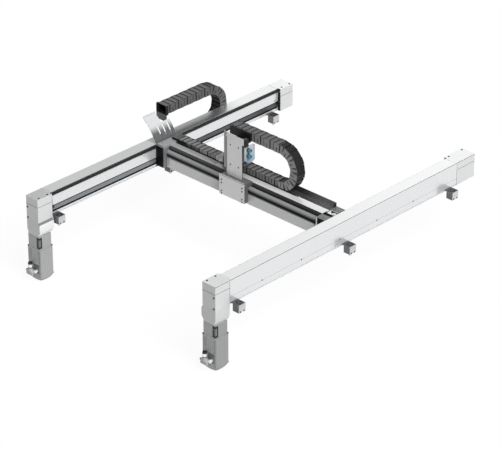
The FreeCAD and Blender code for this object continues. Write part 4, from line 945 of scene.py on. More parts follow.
@dataclass
class Motor:
    """One hanging motor: crowned cap, corner frame, corner screws, fins and plugs."""

    word: str
    x: float
    neck_half: float = 0.039
    half: float = 0.045
    neck_top: float = TOP - 0.206
    top: float = TOP - 0.278
    bottom: float = TOP - 0.428
    cap_height: float = 0.031
    cap_pull: float = 0.982
    socket_low: float = TOP - 0.420

    def build(self) -> None:
        """Build the motor's fine pieces."""
        self.cap()
        self.corner_frame()
        self.fins()
        self.plugs()

    def cap(self) -> None:
        """Model the crowned cap under the motor, with rounded corners and a bulging bottom."""
        x, half, height = self.x, self.half, self.cap_height
        cap = Workpiece.block(
            f"{self.word}_motor_cap", (x - half, MOTOR_AXIS - half, self.bottom - height),
            (x + half, MOTOR_AXIS + half, self.bottom))
        for corner in cap.subdivided(11).piece.data.vertices:
            across, along = (corner.co.x - x) / half, (corner.co.y - MOTOR_AXIS) / half
            drop = (self.bottom - corner.co.z) / height
            reach = max(across * across, along * along)
            corner.co.z += drop * height * (0.15 * (across * across + along * along) + 0.38 * reach ** 3)
            pull = self.cap_pull * (1.0 - 0.10 * drop ** 3 * (across * across * along * along))
            corner.co.x = x + (corner.co.x - x) * pull
            corner.co.y = MOTOR_AXIS + (corner.co.y - MOTOR_AXIS) * pull
        # Painted light: the left cap and the caps' near faces take lighter greys
        cap.smooth(math.radians(50.0)).finished(MOTOR_PAINTED_LIGHT if x < 0 else MOTOR_CAST)
        cap.finish_faces(FRONT_LIGHT_AND_SHADE_GREY, facing(NEAR)).ride("fixed_frame", "motor_grey", "motor_end_caps")

    def corner_frame(self) -> None:
        """Model the dark frame round the clamping window on the near right corner, and the corner screws."""
        corner, near = self.x + self.neck_half, MOTOR_AXIS - self.neck_half
        low, high = self.neck_top - 0.066, self.neck_top - 0.006
        frame = Workpiece.block(
            "frame", (corner - 0.018, near - 0.0010, low), (corner + 0.0010, near + 0.018, high))
        window = Workpiece.block(
            "window", (corner - 0.0095, near - 0.0016, low + 0.011),
            (corner + 0.0016, near + 0.0095, high - 0.011))
        parts = [frame.ease(0.0006, 1).finished(BLACK_OXIDE), window.ease(0.0005, 1).finished(WINDOW_GREY)]
        Workpiece.merged(f"{self.word}_corner_frame", parts).smooth().ride("fixed_frame", "steel_dark")
        posts = [
            Workpiece.disc("post", 0.0038, (self.x + dx, MOTOR_AXIS + dy, self.top - 0.001), (0, 0, 0.006), 6)
            for dx, dy in ((0.0405, 0.0405), (-0.0405, -0.0405), (-0.0405, 0.0405))
        ]
        screws = Workpiece.merged(f"{self.word}_motor_corner_screws", posts).ease(0.0004, 1)
        screws.finished(BLACK_OXIDE).ride("fixed_frame", "steel_dark")

    def fins(self) -> None:
        """Lay thin darker bars on the near face as painted shade of the fins, a band of painted shade at its
        corner and a block of painted shade for the socket's recess.
        """
        x, face, high = self.x, MOTOR_AXIS - self.half, self.top - 0.006
        near, far = face - 0.0003, face + 0.001
        groove = Workpiece.block("groove", (x - 0.030, near, self.top - 0.056), (x - 0.0275, far, high))
        groove.rowed(4, (0.0058, 0, 0))
        band = Workpiece.block(
            "band", (x + 0.037, near, self.bottom + 0.002), (x + self.half - 0.001, far, high))
        fins = Workpiece.merged(f"{self.word}_fin_shade_lines", [groove, band]).finished(MOTOR_CAST)
        fins.ride("fixed_frame", "motor_grey")
        recess = Workpiece.block(
            f"{self.word}_socket_painted_shade", (x - 0.004, face - 0.0004, self.socket_low + 0.012),
            (x + 0.036, far, self.socket_low + 0.060))
        recess.ease(0.0003, 1).finished(MOTOR_SHADE).ride("fixed_frame", "motor_grey")

    def plugs(self) -> None:
        """Model the socket block with an upright plug, a stub and a dark side plug."""
        x, low, face = self.x, self.socket_low, MOTOR_AXIS - self.half
        block = Workpiece.block(
            f"{self.word}_socket_block", (x - 0.032, face - 0.026, low), (x + 0.012, face, low + 0.024))
        block.ease(0.004, 3).smooth().finished(PLUG_GREY).ride("fixed_frame", "motor_grey", "motor_plugs")
        axis = Vector((x - 0.013, face - 0.013, low))
        upright = self.turned("upright", axis + Vector((0, 0, 0.022)), (0, 0, 0.043), 0.012, NICKEL)
        upright.finish_faces(BLACK_OXIDE, lambda centre, normal: centre.z > low + 0.0565)
        parts = [upright]
        sleeves = ((0.0123, 0.036, 0.005, BLACK_OXIDE), (0.0121, 0.022, 0.015, PLUG_GREY))
        for radius, start, height, finish in sleeves:
            sleeve = Workpiece.disc("sleeve", radius, axis + Vector((0, 0, start)), (0, 0, height), 28)
            parts.append(sleeve.ease(0.0008, 1).finished(finish))
        Workpiece.merged(f"{self.word}_upright_plug", parts).smooth().ride("fixed_frame", "connector_silver")
        for kind, start, way, radius, finish, slot in (
            ("stub", (x + 0.022, face, low + 0.025), (0, -0.018, 0), 0.009, NICKEL, "connector_silver"),
            ("side", (x - 0.031, face - 0.013, low + 0.015), (-0.010, 0, 0), 0.0062, BLACK_OXIDE,
             "steel_dark"),
        ):
            self.turned(f"{self.word}_{kind}_plug", start, way, radius, finish).ride("fixed_frame", slot)

    def turned(self, name: str, start: Point, way: Point, radius: float, finish: Finish) -> Workpiece:
        """Turn a plug with a neck, a ring and an open end.

        Args:
            name: The plug's name.
            start: The centre of its foot.
            way: The vector from the foot to the end.
            radius: The radius of its ring.
            finish: Its finish.

        Returns:
            The plug.
        """
        foot, along = Vector(start), Vector(way)
        out = along.normalized()
        neck = Workpiece.disc("neck", radius * 0.86, foot, along * 0.45, 24)
        ring = Workpiece.disc("ring", radius, foot + along * 0.42, along * 0.40, 20)
        end = Workpiece.disc("end", radius * 0.90, foot + along * 0.80, along * 0.20, 24)
        end.sink(facing(out, least=SQUARELY), radius * 0.2, 0)
        mouth = facing(out, lambda spot: (spot - foot - along).length < radius * 0.4, SQUARELY)
        end.sink(mouth, 0.0002, along.length * 0.05)
        return Workpiece.merged(name, [neck, ring, end]).ease(0.0005, 1).smooth().finished(finish)


@dataclass
class Motors(Assembly):
    """Both hanging motors."""

    def build(self) -> None:
        """Dress the ribbed housings and build each motor's fine pieces."""
        housings = self.dresser.eased("motor_housings", MOTOR_CAST, Shape.CRISP)
        # Painted light: lighter greys on the near faces and on the left housing's right faces
        housings.finish_faces(FRONT_LIGHT_AND_SHADE_GREY, facing(NEAR))
        housings.finish_faces(MOTOR_PAINTED_LIGHT, facing(RIGHT, lambda spot: spot.x < 0))
        for word, side in HANDS.items():
            Motor(word, side * AXIS).build()


class ChainWay(Enum):
    """The way a cable chain runs: along X on the cross beam, or along Y beside the left beam."""

    CROSS = "cross"
    SIDE = "side"


@dataclass
class CableChain:
    """One cable chain: a lower run, two half bends and an upper run of open links."""

    way: ChainWay
    width: float
    bend: float
    axis: float
    across: float
    lower_links: int = 12
    upper_links: int = 10
    plate: float = 0.002
    mark: float = 0.0003
    bar_share: float = 0.41
    duct_share: float = 0.34
    duct_links: int = 9

    def link(self, inner: bool, length: float, height: float, share: float) -> Workpiece:
        """Model one link along +X on its own pivot, with the inside of the bend at +Z.

        Two shelves between its bars close the view through it.

        Args:
            inner: Whether its plates lie inside those of its neighbours.
            length: The distance between its pivots.
            height: The height of its plates.
            share: Half the width of its outer bar, as a share of the length.

        Returns:
            The link.
        """
        half = height / 2
        outside = self.width / 2 - (self.plate if inner else 0)
        parts = [self.side_plate(hand, half, outside, length) for hand in SIDES]
        wide, narrow = share * length, (0.31 if inner else 0.25) * length
        reach = outside - self.plate * 0.5
        for low, out in ((-half + 0.0010, wide), (half - 0.0042, narrow)):
            bar = Workpiece.block(
                "bar", (length / 2 - out, -reach, low), (length / 2 + out, reach, low + 0.0032))
            bar.sink(lambda centre, normal: abs(normal.z) > SQUARELY, 0.0028, 0.0005)
            parts.append(bar.ease(0.0008, 1))
        shelf = self.width / 2 - 0.0045
        for low, out in ((-half + 0.0058, 0.30 * length), (half - 0.0072, 0.36 * length)):
            parts.append(Workpiece.block("shelf", (-out, -shelf, low), (out, shelf, low + 0.0012)))
        return Workpiece.merged(f"{self.way.value}_link", parts).finished(CHAIN_DARK)

    def side_plate(self, hand: int, half: float, outside: float, length: float) -> Workpiece:
        """Model one side plate with its shallow panel and dark lines of painted shadow where its neighbours'
        edges fall; an outer plate takes one dark mark near its middle instead.

        Args:
            hand: -1 or 1 for the side that the plate is on.
            half: Half the height of the link.
            outside: The distance of its outer face from the middle.
            length: The distance between the pivots.

        Returns:
            The side plate.
        """
        plate = Workpiece.block(
            "plate", (-0.0025, hand * (outside - self.plate), -half), (length + 0.0025, hand * outside, half))
        plate.sink(facing((0, hand, 0), least=SQUARELY), 0.0040, 0.0004)
        plate.ease(0.0006, 1)
        # Dark lines of painted shadow where the outer neighbours' edges fall on an inner plate
        marks = ((0.0020, 0.0050, 0.92), (length - 0.0070, 0.0050, 0.92))
        if outside > self.width / 2 - self.plate / 2:
            marks = ((length * 0.44, 0.0036, 0.10),)
        lines = [
            Workpiece.block(
                "line", (start, hand * (outside - 0.0005), -half * drop),
                (start + wide, hand * (outside + self.mark), half * 0.80))
            for start, wide, drop in marks
        ]
        return Workpiece.merged("plate", [plate, *lines])

    def frame(self) -> Matrix:
        """Return the matrix from the chain's own frame, along +X from the bend, to the machine."""
        if self.way is ChainWay.CROSS:
            return Matrix.Translation((0, self.across, TOP))
        return Matrix.Translation((self.across, 0, TOP)) @ Matrix.Rotation(math.pi / 2, 4, "Z")

    def radius(self) -> float:
        """Return the radius of the circle through the pivots of the bend."""
        return CHAIN_PITCH / (2 * math.sin(math.pi / (2 * CHAIN_BEND_LINKS)))

    def lower_places(self) -> list[Matrix]:
        """Return the places of the links of the lower run."""
        start, height = self.bend - self.lower_links * CHAIN_PITCH, self.axis - self.radius()
        return [Matrix.Translation((start + n * CHAIN_PITCH, 0, height)) for n in range(self.lower_links)]

    def upper_places(self) -> list[Matrix]:
        """Return the places of the links of the upper run, which lie upside down."""
        start, height = self.bend - self.upper_links * CHAIN_PITCH, self.axis + self.radius()
        turn = Matrix.Rotation(math.pi, 4, "Y")
        return [
            Matrix.Translation((start + (n + 1) * CHAIN_PITCH, 0, height)) @ turn
            for n in range(self.upper_links)
        ]

    def bend_places(self, first: int, last: int) -> list[Matrix]:
        """Return the places of the links of part of the bend.

        Args:
            first: The number of the first link.
            last: One more than the number of the last link.

        Returns:
            One matrix for each link.
        """
        step, radius = math.pi / CHAIN_BEND_LINKS, self.radius()
        return [
            Matrix.Translation((self.bend, 0, self.axis)) @ Matrix.Rotation(-n * step, 4, "Y")
            @ Matrix.Translation((0, 0, -radius)) @ Matrix.Rotation(-step / 2, 4, "Y")
            for n in range(first, last)
        ]

    def laid(self, links: Sequence[Workpiece], name: str, places: Sequence[Matrix], first: int) -> Workpiece:
        """Copy both kinds of link in turn to a row of places, in the machine's frame.

        Args:
            links: The outer and the inner link, which stay.
            name: The name of the row.
            places: One matrix for each link.
            first: The number of the first link, which is an outer one when it is even.

        Returns:
            The row of links, with the outward faces of its side plates in a lighter grey, which on the cross
            chain is painted light.
        """
        frame = self.frame()
        rows = []
        for kind, link in enumerate(links):
            own = [frame @ place for number, place in enumerate(places) if (first + number) % 2 == kind]
            rows.append(Workpiece(put("source", link.piece.data.copy())).repeated(f"{name}_{kind}", own))
        row = Workpiece.merged(name, rows).smooth()
        return row.finish_faces(CHAIN_SIDE if self.way is ChainWay.SIDE else CHAIN_FRONT_LIT, self.outward_plate_face)

    def outward_plate_face(self, centre: Vector, normal: Vector) -> bool:
        """Say whether a face is the outside of an outward side plate, and no mark on it.

        Args:
            centre: The face's centre.
            normal: Its normal.

        Returns:
            Whether it is.
        """
        side = self.way is ChainWay.SIDE
        offset = centre.x - self.across if side else self.across - centre.y
        half = self.width / 2
        lined = min(abs(offset - half - self.mark), abs(offset - half + self.plate - self.mark)) < 0.0001
        return (normal.x if side else -normal.y) > MOSTLY and offset > half - 0.0046 and not lined

    def build(self) -> None:
        """Build the four stretches of the chain, hang the bends on their bodies and log the bodies of the
        runs.
        """
        word, frame = self.way.value, self.frame()
        bodies = ("cross_beam", "slide") if self.way is ChainWay.CROSS else ("fixed_frame", "cross_beam")
        links = [self.link(inner, CHAIN_PITCH, CHAIN_HEIGHT, self.bar_share) for inner in (False, True)]
        half = CHAIN_BEND_LINKS // 2
        halves = (f"{word}_chain_low_half", f"{word}_chain_high_half")
        levels = ("lower", "upper")
        for level, body, end, places, height, bars, turn in zip(
                levels, bodies, halves, (self.lower_places(), self.upper_places()),
                (self.axis - self.radius(), self.axis + self.radius()), (CHAIN_BARS_LIT, CHAIN_TOP_LIT), (0, 1)):
            count = len(places)
            run = self.laid(links, f"{word}_chain_{level}_links", places, count + turn)
            crest = TOP + height + CHAIN_HEIGHT / 2 - 0.006
            # Painted light on the upward faces of the bars at each run's crest
            run.finish_faces(bars, facing(UP, lambda spot: spot.z > crest))
            # Painted shade: the lower cross run's near plates take a darker grey
            if level == "lower" and self.way is ChainWay.CROSS:
                run.finish_faces(CHAIN_MID_SHADE, self.outward_plate_face)
            start = frame @ Vector((self.bend - count * CHAIN_PITCH, 0, height))
            run.stretch(
                "chain_black", (body, end), tuple(start), tuple(frame @ Vector((self.bend, 0, height))),
                f"{word}_chain_{level}_run")
        for level, end, first in zip(levels, halves, (0, half)):
            places = self.bend_places(first, first + half)
            bend = self.laid(links, f"{word}_chain_{level}_bend_links", places, first)
            bend.ride(end, "chain_black", f"{word}_chain_bend_{level}")
        if self.way is ChainWay.CROSS:
            self.duct()
        for link in links:
            bpy.data.objects.remove(link.piece)

    def duct(self) -> None:
        """Lay the fixed row of links at the beam's left end, with its end piece, a pale end plate and floor
        patch of painted reflection, and a dark edge strip of painted shadow.
        """
        low, high, floor, height = -0.505, -0.237, TOP - 0.011, 0.035
        length = (high - low - 0.005) / self.duct_links
        places = [
            Matrix.Translation((low + 0.0025 + number * length, self.across, floor + height / 2))
            @ Matrix.Rotation(math.pi, 4, "X")
            for number in range(self.duct_links)
        ]
        rows = [
            self.link(bool(kind), length, height, self.duct_share).repeated("row", places[kind::2])
            for kind in (0, 1)
        ]
        row = Workpiece.merged("cable_duct_links", rows).smooth()
        # Painted light on the near plates, painted shade on those near the left end, painted light on the
        # bars' upward faces
        for finish, left, right in ((CHAIN_FRONT_LIT, -0.35, high), (CHAIN_SHADED, -0.44, -0.35)):
            row.finish_faces(
                finish, lambda centre, normal: left < centre.x < right and self.outward_plate_face(centre, normal))
        row.finish_faces(CHAIN_BARS_LIT, facing(UP, lambda spot: spot.z > floor + height - 0.006))
        near, far = self.across - 0.0265, self.across + 0.0265
        end = Workpiece.block(
            "end_piece", (-0.546, self.across - 0.027, TOP + 0.0082),
            (-0.5035, self.across + 0.027, TOP + 0.0225))
        end.sink(facing(UP, least=SQUARELY), 0.006, 0.004).ease(0.0012, 2).smooth().finished(CHAIN_DARK)
        # Painted light on the end piece's top
        end.finish_faces(CHAIN_SHADED, facing(UP))
        # A pale end plate on the duct and a pale patch on the floor beyond it, as painted reflection of the
        # white that the glossy floor mirrors there
        lid = Workpiece.blocks("duct_lid_painted_light", [
            ((-0.2385, near, floor + 0.001), (-0.2370, far, floor + height)),
            ((-0.2390, 0.0150, floor), (-0.1900, far, floor + 0.0012))])
        # A dark strip of painted shadow along the channel's edge, under the duct's front
        edge = Workpiece.blocks("channel_shadow_strip", [
            ((-0.5035, 0.0112, TOP + 0.0002), (0.300, 0.0134, TOP + 0.0062)),
            ((-0.5035, 0.0112, TOP + 0.0002), (-0.430, 0.0134, TOP + 0.0130))])
        lid.ease(0.0003, 1).finished(PLATE_BLASTED)
        edge.ease(0.0003, 1).finished(CHAIN_DARK)
        duct = Workpiece.merged("cable_duct_links", [row, end, lid, edge])
        duct.ride("cross_beam", "chain_black", "cable_duct")


@dataclass
class CrossBeam(Assembly):
    """The cross beam with its carriages, cover plates, trays and cable sheet."""

    sheet_curve: tuple[tuple[float, float], ...] = (
        (-0.577, 0.008), (-0.596, 0.040), (-0.624, 0.079), (-0.645, 0.099), (-0.660, 0.111), (-0.664, 0.124))
    sheet_sides: tuple[float, float] = (-0.070, 0.072)
    sheet_thickness: float = 0.003

    def build(self) -> None:
        """Dress the cross beam and its carriages, and add a strip of painted shadow along the front plate's
        top and the sheet.
        """
        eased = self.dresser.eased
        top = TOP - 0.001
        profile = eased("cross_beam_profile", CROSS_ANODISED, Shape.CRISP)
        # Painted shade on the top strip's left part and in the groove behind the front belt
        profile.finish_faces(STRIP_GREY, facing(UP, lambda spot: spot.z > top and spot.y < 0.03))
        profile.finish_faces(
            GROOVE_SHADE_GREY, lambda centre, normal: abs(normal.x) < 0.5 and -0.052 < centre.y < 0.012
            and TOP - 0.060 < centre.z and (centre.z < top or normal.z < 0.5))
        profile.finish_faces(FLOOR_GLOSS, facing(UP, lambda spot: spot.y > 0.012 and spot.z < top))
        # Painted highlight along the nose cover's top
        eased("cross_nose_cover", NOSE_HIGHLIGHT, Shape.CRISP)
        # Painted shadow on the front plate's top faces
        eased("cross_front_plate", FRONT_PLATE, Shape.CRISP).finish_faces(GROOVE_DARK, facing(UP))
        # A strip of painted shadow along the front plate's top edge
        shadow_strip = Workpiece.block(
            "front_plate_shadow_strip", (-0.512, -0.0583, TOP - 0.0545), (0.512, -0.0545, TOP - 0.0498))
        shadow_strip.ease(0.0003, 1).finished(GROOVE_SHADE_GREY).ride("cross_beam", "anodised")
        tray = eased("cross_chain_tray", CROSS_ANODISED, Shape.CRISP)
        # Painted shade on the tray's rear wall and floor, and at its right end
        tray.finish_faces(TRAY_SHADE, lambda centre, normal: normal.y < -MOSTLY or normal.z > MOSTLY)
        tray.finish_faces(GROOVE_DARK, lambda centre, normal: centre.x > 0.505)
        # Painted light on the right end plate's right and near faces
        eased("beam_end_plates", END_PLATE_GREY).finish_faces(
            PALE_PAINTED_LIGHT, lambda centre, normal: centre.x > 0 and (normal.x > MOSTLY or normal.y < -MOSTLY))
        for word in HANDS:
            carriage = eased(f"{word}_carriage", DARK_ANODISED)
            # Painted light on the right carriage's top
            carriage.finish_faces(PALE_PAINTED_LIGHT, facing(UP, lambda spot: spot.x > 0))
        eased("runner_blocks", RAIL_STEEL)
        plates = eased("carriage_top_plates", TOP_PLATE)
        plates.finish_faces(PLATE_GREY, lambda centre, normal: centre.x > 0)
        self.dresser.paint(CROSS_RAIL_STEEL, "cross_guide_rail")
        self.dresser.paint(BRIGHT_STEEL, "beam_idler_axles")
        self.sheet()

    def sheet(self) -> None:
        """Bend the cable sheet from strips with three slits, and build the chain's end frame on it."""
        low, high = self.sheet_sides
        slot = self.dresser.slots["cable_sheet"]
        tabs = ((low, -0.025), (-0.015, 0.009), (0.019, 0.043), (0.053, high))
        strips = [(0.0, 0.04, low, high), (0.34, 0.39, low, high), (0.39, 1.0, low, 0.012)]
        parts = [self.bent_strip(*strip) for strip in (*strips, *((0.04, 0.34, *tab) for tab in tabs))]
        base = Workpiece.block("base", (-0.577, low, TOP + 0.008), (-0.564, high, TOP + 0.011))
        sheet = Workpiece.merged("bent_cable_sheet", [*parts, base.ease(0.0003, 1)])
        # Painted light and shade graded along the sheet's height
        sheet.smooth(math.radians(50.0)).finished(SHEET_BENT).ride("cross_beam", slot, "cable_sheet")
        frame = Workpiece.blocks("side_chain_end_frame", [
            ((-0.714, 0.074, TOP + 0.085), (-0.641, 0.086, TOP + 0.088)),
            ((-0.714, 0.071, TOP + 0.050), (-0.641, 0.074, TOP + 0.088)),
            ((-0.714, 0.071, TOP + 0.085), (-0.711, 0.086, TOP + 0.136)),
            ((-0.644, 0.071, TOP + 0.085), (-0.641, 0.086, TOP + 0.136))])
        frame.ease(0.0006, 2).smooth().finished(CHAIN_DARK)
        frame.finish_faces(CHAIN_SHADED, facing(NEAR, lambda spot: spot.z < TOP + 0.088))
        frame.ride("cross_beam", slot)

    def bend_point(self, along: float) -> tuple[Vector, Vector]:
        """Return a point of the sheet's curve and the way that its thickness goes there.

        Args:
            along: How far up the curve the point lies, from 0 to 1.

        Returns:
            The point and the unit normal, in the plane of X and Z.
        """
        knots = [Vector((x, 0, TOP + z)) for x, z in self.sheet_curve]
        place = min(along, 0.9999) * (len(knots) - 1)
        number = int(place)
        part = place - number
        before = knots[number - 1] if number else knots[0] * 2 - knots[1]
        after = knots[number + 2] if number + 2 < len(knots) else knots[-1] * 2 - knots[-2]
        start, end = knots[number], knots[number + 1]
        leave, arrive = (end - before) / 2, (after - start) / 2
        point = (
            start * (2 * part ** 3 - 3 * part ** 2 + 1) + leave * (part ** 3 - 2 * part ** 2 + part)
            + end * (3 * part ** 2 - 2 * part ** 3) + arrive * (part ** 3 - part ** 2))
        way = (
            (end - start) * (6 * part - 6 * part ** 2) + leave * (3 * part ** 2 - 4 * part + 1)
            + arrive * (3 * part ** 2 - 2 * part)).normalized()
        return point, Vector((way.z, 0, -way.x))

    def bent_strip(self, start: float, end: float, low: float, high: float) -> Workpiece:
        """Bend one flat strip of the sheet along its curve.

        Args:
            start: Where the strip starts on the curve.
            end: Where it ends.
            low: The strip's lower y.
            high: The strip's higher y.

        Returns:
            The strip.
        """
        strip = Workpiece.block("strip", (0, low, 0), (1, high, self.sheet_thickness)).subdivided(9)
        for corner in strip.piece.data.vertices:
            point, normal = self.bend_point(start + (end - start) * corner.co.x)
            corner.co = Vector((point.x, corner.co.y, point.z)) + normal * corner.co.z
        return strip


@dataclass
class Slide(Assembly):
    """The slide with its base plate, tool plate, bracket, connector plate and fittings."""

    tool_middle: float = -0.039
    fitting_x: float = 0.024
    fitting_y: float = -0.027

    def build(self) -> None:
        """Dress the slide with painted shade on some faces, add its flange, dark discs of painted shade over
        the holes and the web, and turn its fittings.
        """
        eased = self.dresser.eased
        # Painted shade on the base plate's back and side faces
        eased("slide_base_plate", PLATE_BLASTED).finish_faces(
            CARRIER_STEEL, lambda centre, normal: normal.y > MOSTLY or abs(normal.x) > MOSTLY)
        eased("slide_runner_carrier", CARRIER_STEEL, Shape.CRISP)
        # Painted shade on the clamp's sides and its low top faces
        eased("belt_clamp", PLATE_BLASTED, Shape.CRISP).finish_faces(
            CARRIER_STEEL, lambda centre, normal: abs(normal.x) > 0.5
            or (normal.z > MOSTLY and centre.z < TOP + 0.0075))
        tool = eased("tool_plate", PLATE_BLASTED)
        # Painted shade in the tool plate's holes, on its right face, on its top under the bracket and on its
        # left ear
        tool.finish_faces(BLACK_OXIDE, self.in_hole)
        tool.finish_faces(CARRIER_STEEL, facing(RIGHT))
        tool.finish_faces(TOP_PLATE, facing(UP))
        tool.finish_faces(MOTOR_CAST, facing(NEAR, lambda spot: spot.x < -0.091))
        # The flange takes a mid grey as painted shade
        flange = Workpiece.blocks("tool_plate_flange", [
            ((-0.1180, -0.0480, TOP + 0.032), (-0.1055, -0.0445, TOP + 0.222)),
            ((-0.1180, -0.0480, TOP + 0.226), (-0.1085, -0.0445, TOP + 0.229))])
        flange.ease(0.0004, 1).finished(FRONT_LIGHT_AND_SHADE_GREY).ride("slide", "anodised")
        self.hole_shade_discs()
        eased("chain_end_bracket", BLACK_OXIDE)
        plate = eased("connector_plate", PALE_BLUE, Shape.CRISP)
        plate.bisected((0, -0.051, TOP + 0.116), (0, -0.026, -0.028), clear_outer=True, use_fill=True)
        plate.finish_faces(CARRIER_STEEL, facing(NEAR, lambda spot: spot.x < 0.0205))
        web = Workpiece.block("connector_web", (0.0100, -0.0505, TOP + 0.112), (0.0215, -0.0478, TOP + 0.189))
        web.ease(0.0004, 1).finished(CARRIER_STEEL).ride("slide", "anodised")
        for number, height in enumerate((0.134, 0.166)):
            self.fitting(f"hose_fitting_{number}", TOP + height)

    def in_hole(self, centre: Vector, normal: Vector) -> bool:
        """Say whether a face belongs to the wall of one of the tool plate's holes."""
        return abs(normal.y) < 0.5 and any(
            math.hypot(centre.x - x, centre.z - z) < 0.0040 for x, z in self.holes())

    def holes(self) -> list[tuple[float, float]]:
        """Return the axes of the tool plate's holes as pairs of x and z."""
        return [(self.tool_middle + side * 0.027, TOP + row) for side in SIDES for row in (0.065, 0.173)]

    def hole_shade_discs(self) -> None:
        """Lay a thin dark disc of painted shade, with a hollow in its middle, over each hole of the tool
        plate.
        """
        rings = []
        for x, z in self.holes():
            ring = Workpiece.disc("hole_shade_disc", 0.0040, (x, -0.0556, z), (0, -0.0006, 0), 24)
            ring.sink(lambda centre, normal: abs(normal.y) > SQUARELY, 0.0009, 0)
            middle = facing(NEAR, lambda spot: math.hypot(spot.x - x, spot.z - z) < 0.0012, SQUARELY)
            rings.append(ring.sink(middle, 0.0001, 0.0004))
        hole_shade_discs = Workpiece.merged("tool_plate_hole_shade", rings).smooth().finished(GROOVE_DARK)
        hole_shade_discs.ride("slide", "steel_dark")

    def fitting(self, name: str, height: float) -> None:
        """Turn one push-in fitting: stem, hexagon and coloured release ring.

        Args:
            name: The fitting's name.
            height: The height of its axis.
        """
        foot = Vector((self.fitting_x - 0.008, self.fitting_y, height))
        stem = Workpiece.disc(name, 0.0060, foot, (0.010, 0, 0), 20).ease(0.0004, 1).finished(NICKEL)
        nut = Workpiece.disc("nut", 0.0120, foot + Vector((0.008, 0, 0)), (0.008, 0, 0), 6)
        nut.ease(0.0008, 2).finished(TEAL_DARK)
        ring = Workpiece.disc("ring", 0.0095, foot + Vector((0.016, 0, 0)), (0.014, 0, 0), 28)
        ring.sink(facing(RIGHT, least=SQUARELY), 0.0040, 0)
        ring.sink(facing(RIGHT, lambda spot: (spot - foot).yz.length < 0.005, SQUARELY), 0.0002, 0.008)
        ring.ease(0.0006, 2).finished(TEAL_PLASTIC)
        Workpiece.merged(name, [stem, nut, ring]).smooth().ride("slide", "fitting_teal", "hose_fittings")


@dataclass
class BeltDrive(Assembly):
    """Shafts, pulleys and the toothed belt."""

    tooth_pitch: float = 0.005
    tooth_height: float = 0.0012
    thickness: float = 0.003
    front_line: float = -0.030
    # The stretch of a front strand next to its idler that is left without teeth
    bare: float = 0.140

    def build(self) -> None:
        """Dress the turning pieces and build the belt."""
        for word in HANDS:
            self.dresser.paint(HEAD_MACHINED, f"{word}_drive_pulley", f"{word}_idler_pulley")
            self.dresser.paint(
                BRIGHT_STEEL, f"{word}_shaft_train", f"{word}_near_beam_idler", f"{word}_far_beam_idler")
        for node in ("belt_outer_strands", "belt_rear_strand"):
            self.dresser.eased(node, BELT_RUBBER, Shape.CRISP)
        for word, side in HANDS.items():
            for place, fixed, moving in (("near", MOTOR_AXIS, -0.044), ("far", IDLER_AXIS, 0.012)):
                x = side * BELT_LINE
                name = f"belt_{word}_{place}_strand"
                strand = self.strand(name, FAR, x, x + side * 0.0010, (fixed, moving))
                strand.finished(BELT_RUBBER).stretch(
                    "belt_black", ("fixed_frame", "cross_beam"), (x, fixed, BELT_TOP), (x, moving, BELT_TOP),
                    "belt_inner_strands")
        for word, idler, slide in (("left", -0.570, -0.114), ("right", 0.570, 0.058)):
            y = self.front_line
            strand = self.strand(f"belt_{word}_front_strand", RIGHT, y, y - 0.0010, (idler, slide))
            strand.finished(BELT_FRONT_LIT).stretch(
                "belt_black", ("cross_beam", "slide"), (idler, y, BELT_TOP), (slide, y, BELT_TOP),
                "belt_front_strands")

    def strand(
        self, name: str, way: Point, line: float, teeth: float, ends: tuple[float, float],
    ) -> Workpiece:
        """Build one straight strand with its teeth.

        Args:
            name: The strand's name.
            way: The way that it runs: FAR along a fixed beam, RIGHT along the cross beam.
            line: Its place across that way.
            teeth: The place of the teeth across that way.
            ends: The place of its first and its second end.

        Returns:
            The strand.
        """
        def at(across: float, along: float, height: float) -> Point:
            """Return a point of the strand in the machine's frame."""
            return (across, along, height) if way is FAR else (along, across, height)

        low, high = sorted(ends)
        half = self.thickness / 2
        band = Workpiece.block(name, at(line - half, low, BELT_BOTTOM), at(line + half, high, BELT_TOP))
        if way is RIGHT:
            low, high = (low + self.bare, high) if ends[0] < ends[1] else (low, high - self.bare)
        rise = self.tooth_height / 2 + self.thickness / 4
        tooth = Workpiece.block(
            "tooth", at(teeth - rise, low, BELT_BOTTOM + 0.002),
            at(teeth + rise, low + self.tooth_pitch / 2, BELT_TOP - 0.002))
        tooth.rowed(int((high - low) / self.tooth_pitch), Vector(way) * self.tooth_pitch)
        return Workpiece.merged(name, [band, tooth])


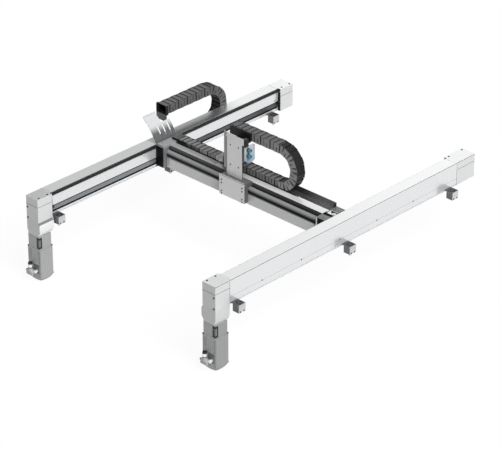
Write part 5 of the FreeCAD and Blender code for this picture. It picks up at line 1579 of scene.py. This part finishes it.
@dataclass
class Studio:
    """Camera, floor and lamp."""

    azimuth: float = math.radians(43.86)
    elevation: float = math.radians(28.78)
    station: Point = (7.81935, -8.1238, 6.08505)
    lens: float = 187.34
    floor_level: float = TOP - 0.4605
    floor_colour: tuple[float, float, float, float] = (0.45, 0.45, 0.45, 1.0)
    floor_glow: float = 1.09
    glow_share: float = 0.86
    fill: float = 0.20
    lamp_strength: float = 3.3
    lamp_spread: float = math.radians(35.0)
    lamp_way: Point = (-0.668, 0.133, -0.733)

    def camera(self) -> None:
        """Place the camera at the photographed viewpoint."""
        data = bpy.data.cameras.new("camera")
        data.lens = self.lens
        data.sensor_width = 36.0
        data.clip_end = 200.0
        camera = put("camera", data)
        level = math.cos(self.elevation)
        ahead = Vector((
            -math.sin(self.azimuth) * level, math.cos(self.azimuth) * level, -math.sin(self.elevation)))
        camera.location = self.station
        camera.rotation_mode = "QUATERNION"
        camera.rotation_quaternion = ahead.to_track_quat("-Z", "Y")
        bpy.context.scene.camera = camera

    def seen_directly(self, wiring: Wiring) -> Socket:
        """Make a mask of 1 on camera, glossy and transmission rays, and 0 on the others.

        Args:
            wiring: The wiring of the material or world.

        Returns:
            The socket with the mask.
        """
        path = wiring.add("ShaderNodeLightPath").outputs
        total = path["Is Camera Ray"]
        for name in ("Is Glossy Ray", "Is Transmission Ray"):
            total = wiring.maths("MAXIMUM", total, path[name])
        return total

    def world(self) -> None:
        """Light the object softly from all round, and show white behind it."""
        world = bpy.data.worlds.new("studio_world")
        bpy.context.scene.world = world
        world.use_nodes = True
        world.node_tree.nodes.clear()
        wiring = Wiring(world.node_tree)
        fill = wiring.add("ShaderNodeBackground", {"Color": WHITE, "Strength": self.fill})
        seen = wiring.add("ShaderNodeBackground", {"Color": WHITE})
        mix = wiring.add(
            "ShaderNodeMixShader", {0: self.seen_directly(wiring), 1: fill.outputs[0], 2: seen.outputs[0]})
        wiring.add("ShaderNodeOutputWorld", {0: mix.outputs[0]})

    def floor(self) -> None:
        """Lay the pale floor under the motors."""
        deselect()
        bpy.ops.mesh.primitive_plane_add(size=120.0, location=(0, 0, self.floor_level))
        floor = bpy.context.active_object
        floor.name = "studio_floor"
        made = bpy.data.materials.new("studio_floor_white")
        made.use_nodes = True
        nodes, wiring = made.node_tree.nodes, Wiring(made.node_tree)
        shader = nodes["Principled BSDF"]
        wiring.feed(shader, {"Base Color": self.floor_colour, "Roughness": 0.9})
        glow = wiring.add("ShaderNodeEmission", {"Strength": self.floor_glow})
        share = wiring.maths("MULTIPLY", self.seen_directly(wiring), self.glow_share)
        mix = wiring.add("ShaderNodeMixShader", {0: share, 1: shader.outputs[0], 2: glow.outputs[0]})
        wiring.feed(nodes["Material Output"], {"Surface": mix.outputs[0]})
        floor.data.materials.append(made)

    def lamp(self) -> None:
        """Hang one broad lamp high on the right, so that tops and right walls are bright."""
        data = bpy.data.lights.new("key_lamp", "SUN")
        data.energy = self.lamp_strength
        data.angle = self.lamp_spread
        lamp = put("key_lamp", data)
        lamp.rotation_mode = "QUATERNION"
        lamp.rotation_quaternion = Vector(self.lamp_way).to_track_quat("-Z", "Y")

    def build(self) -> None:
        """Build the studio."""
        self.camera()
        self.world()
        self.floor()
        self.lamp()
        bpy.context.scene.view_settings.view_transform = "Standard"


def main() -> None:
    """Load the fixed frame and build the studio and each sub-assembly."""
    logging.basicConfig(level=logging.INFO, format="%(message)s")
    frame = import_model()
    deselect()
    Studio().build()
    dresser = Dresser(frame)
    for assembly in (FixedBeams, Motors, BeltDrive, CrossBeam, Slide):
        assembly(dresser).build()
    CableChain(ChainWay.CROSS, 0.058, 0.190, 0.114, 0.043).build()
    CableChain(ChainWay.SIDE, 0.065, 0.388, 0.012, -0.6775).build()
    Screws().build()
    bpy.context.view_layer.update()


if __name__ == "__main__":
    main()
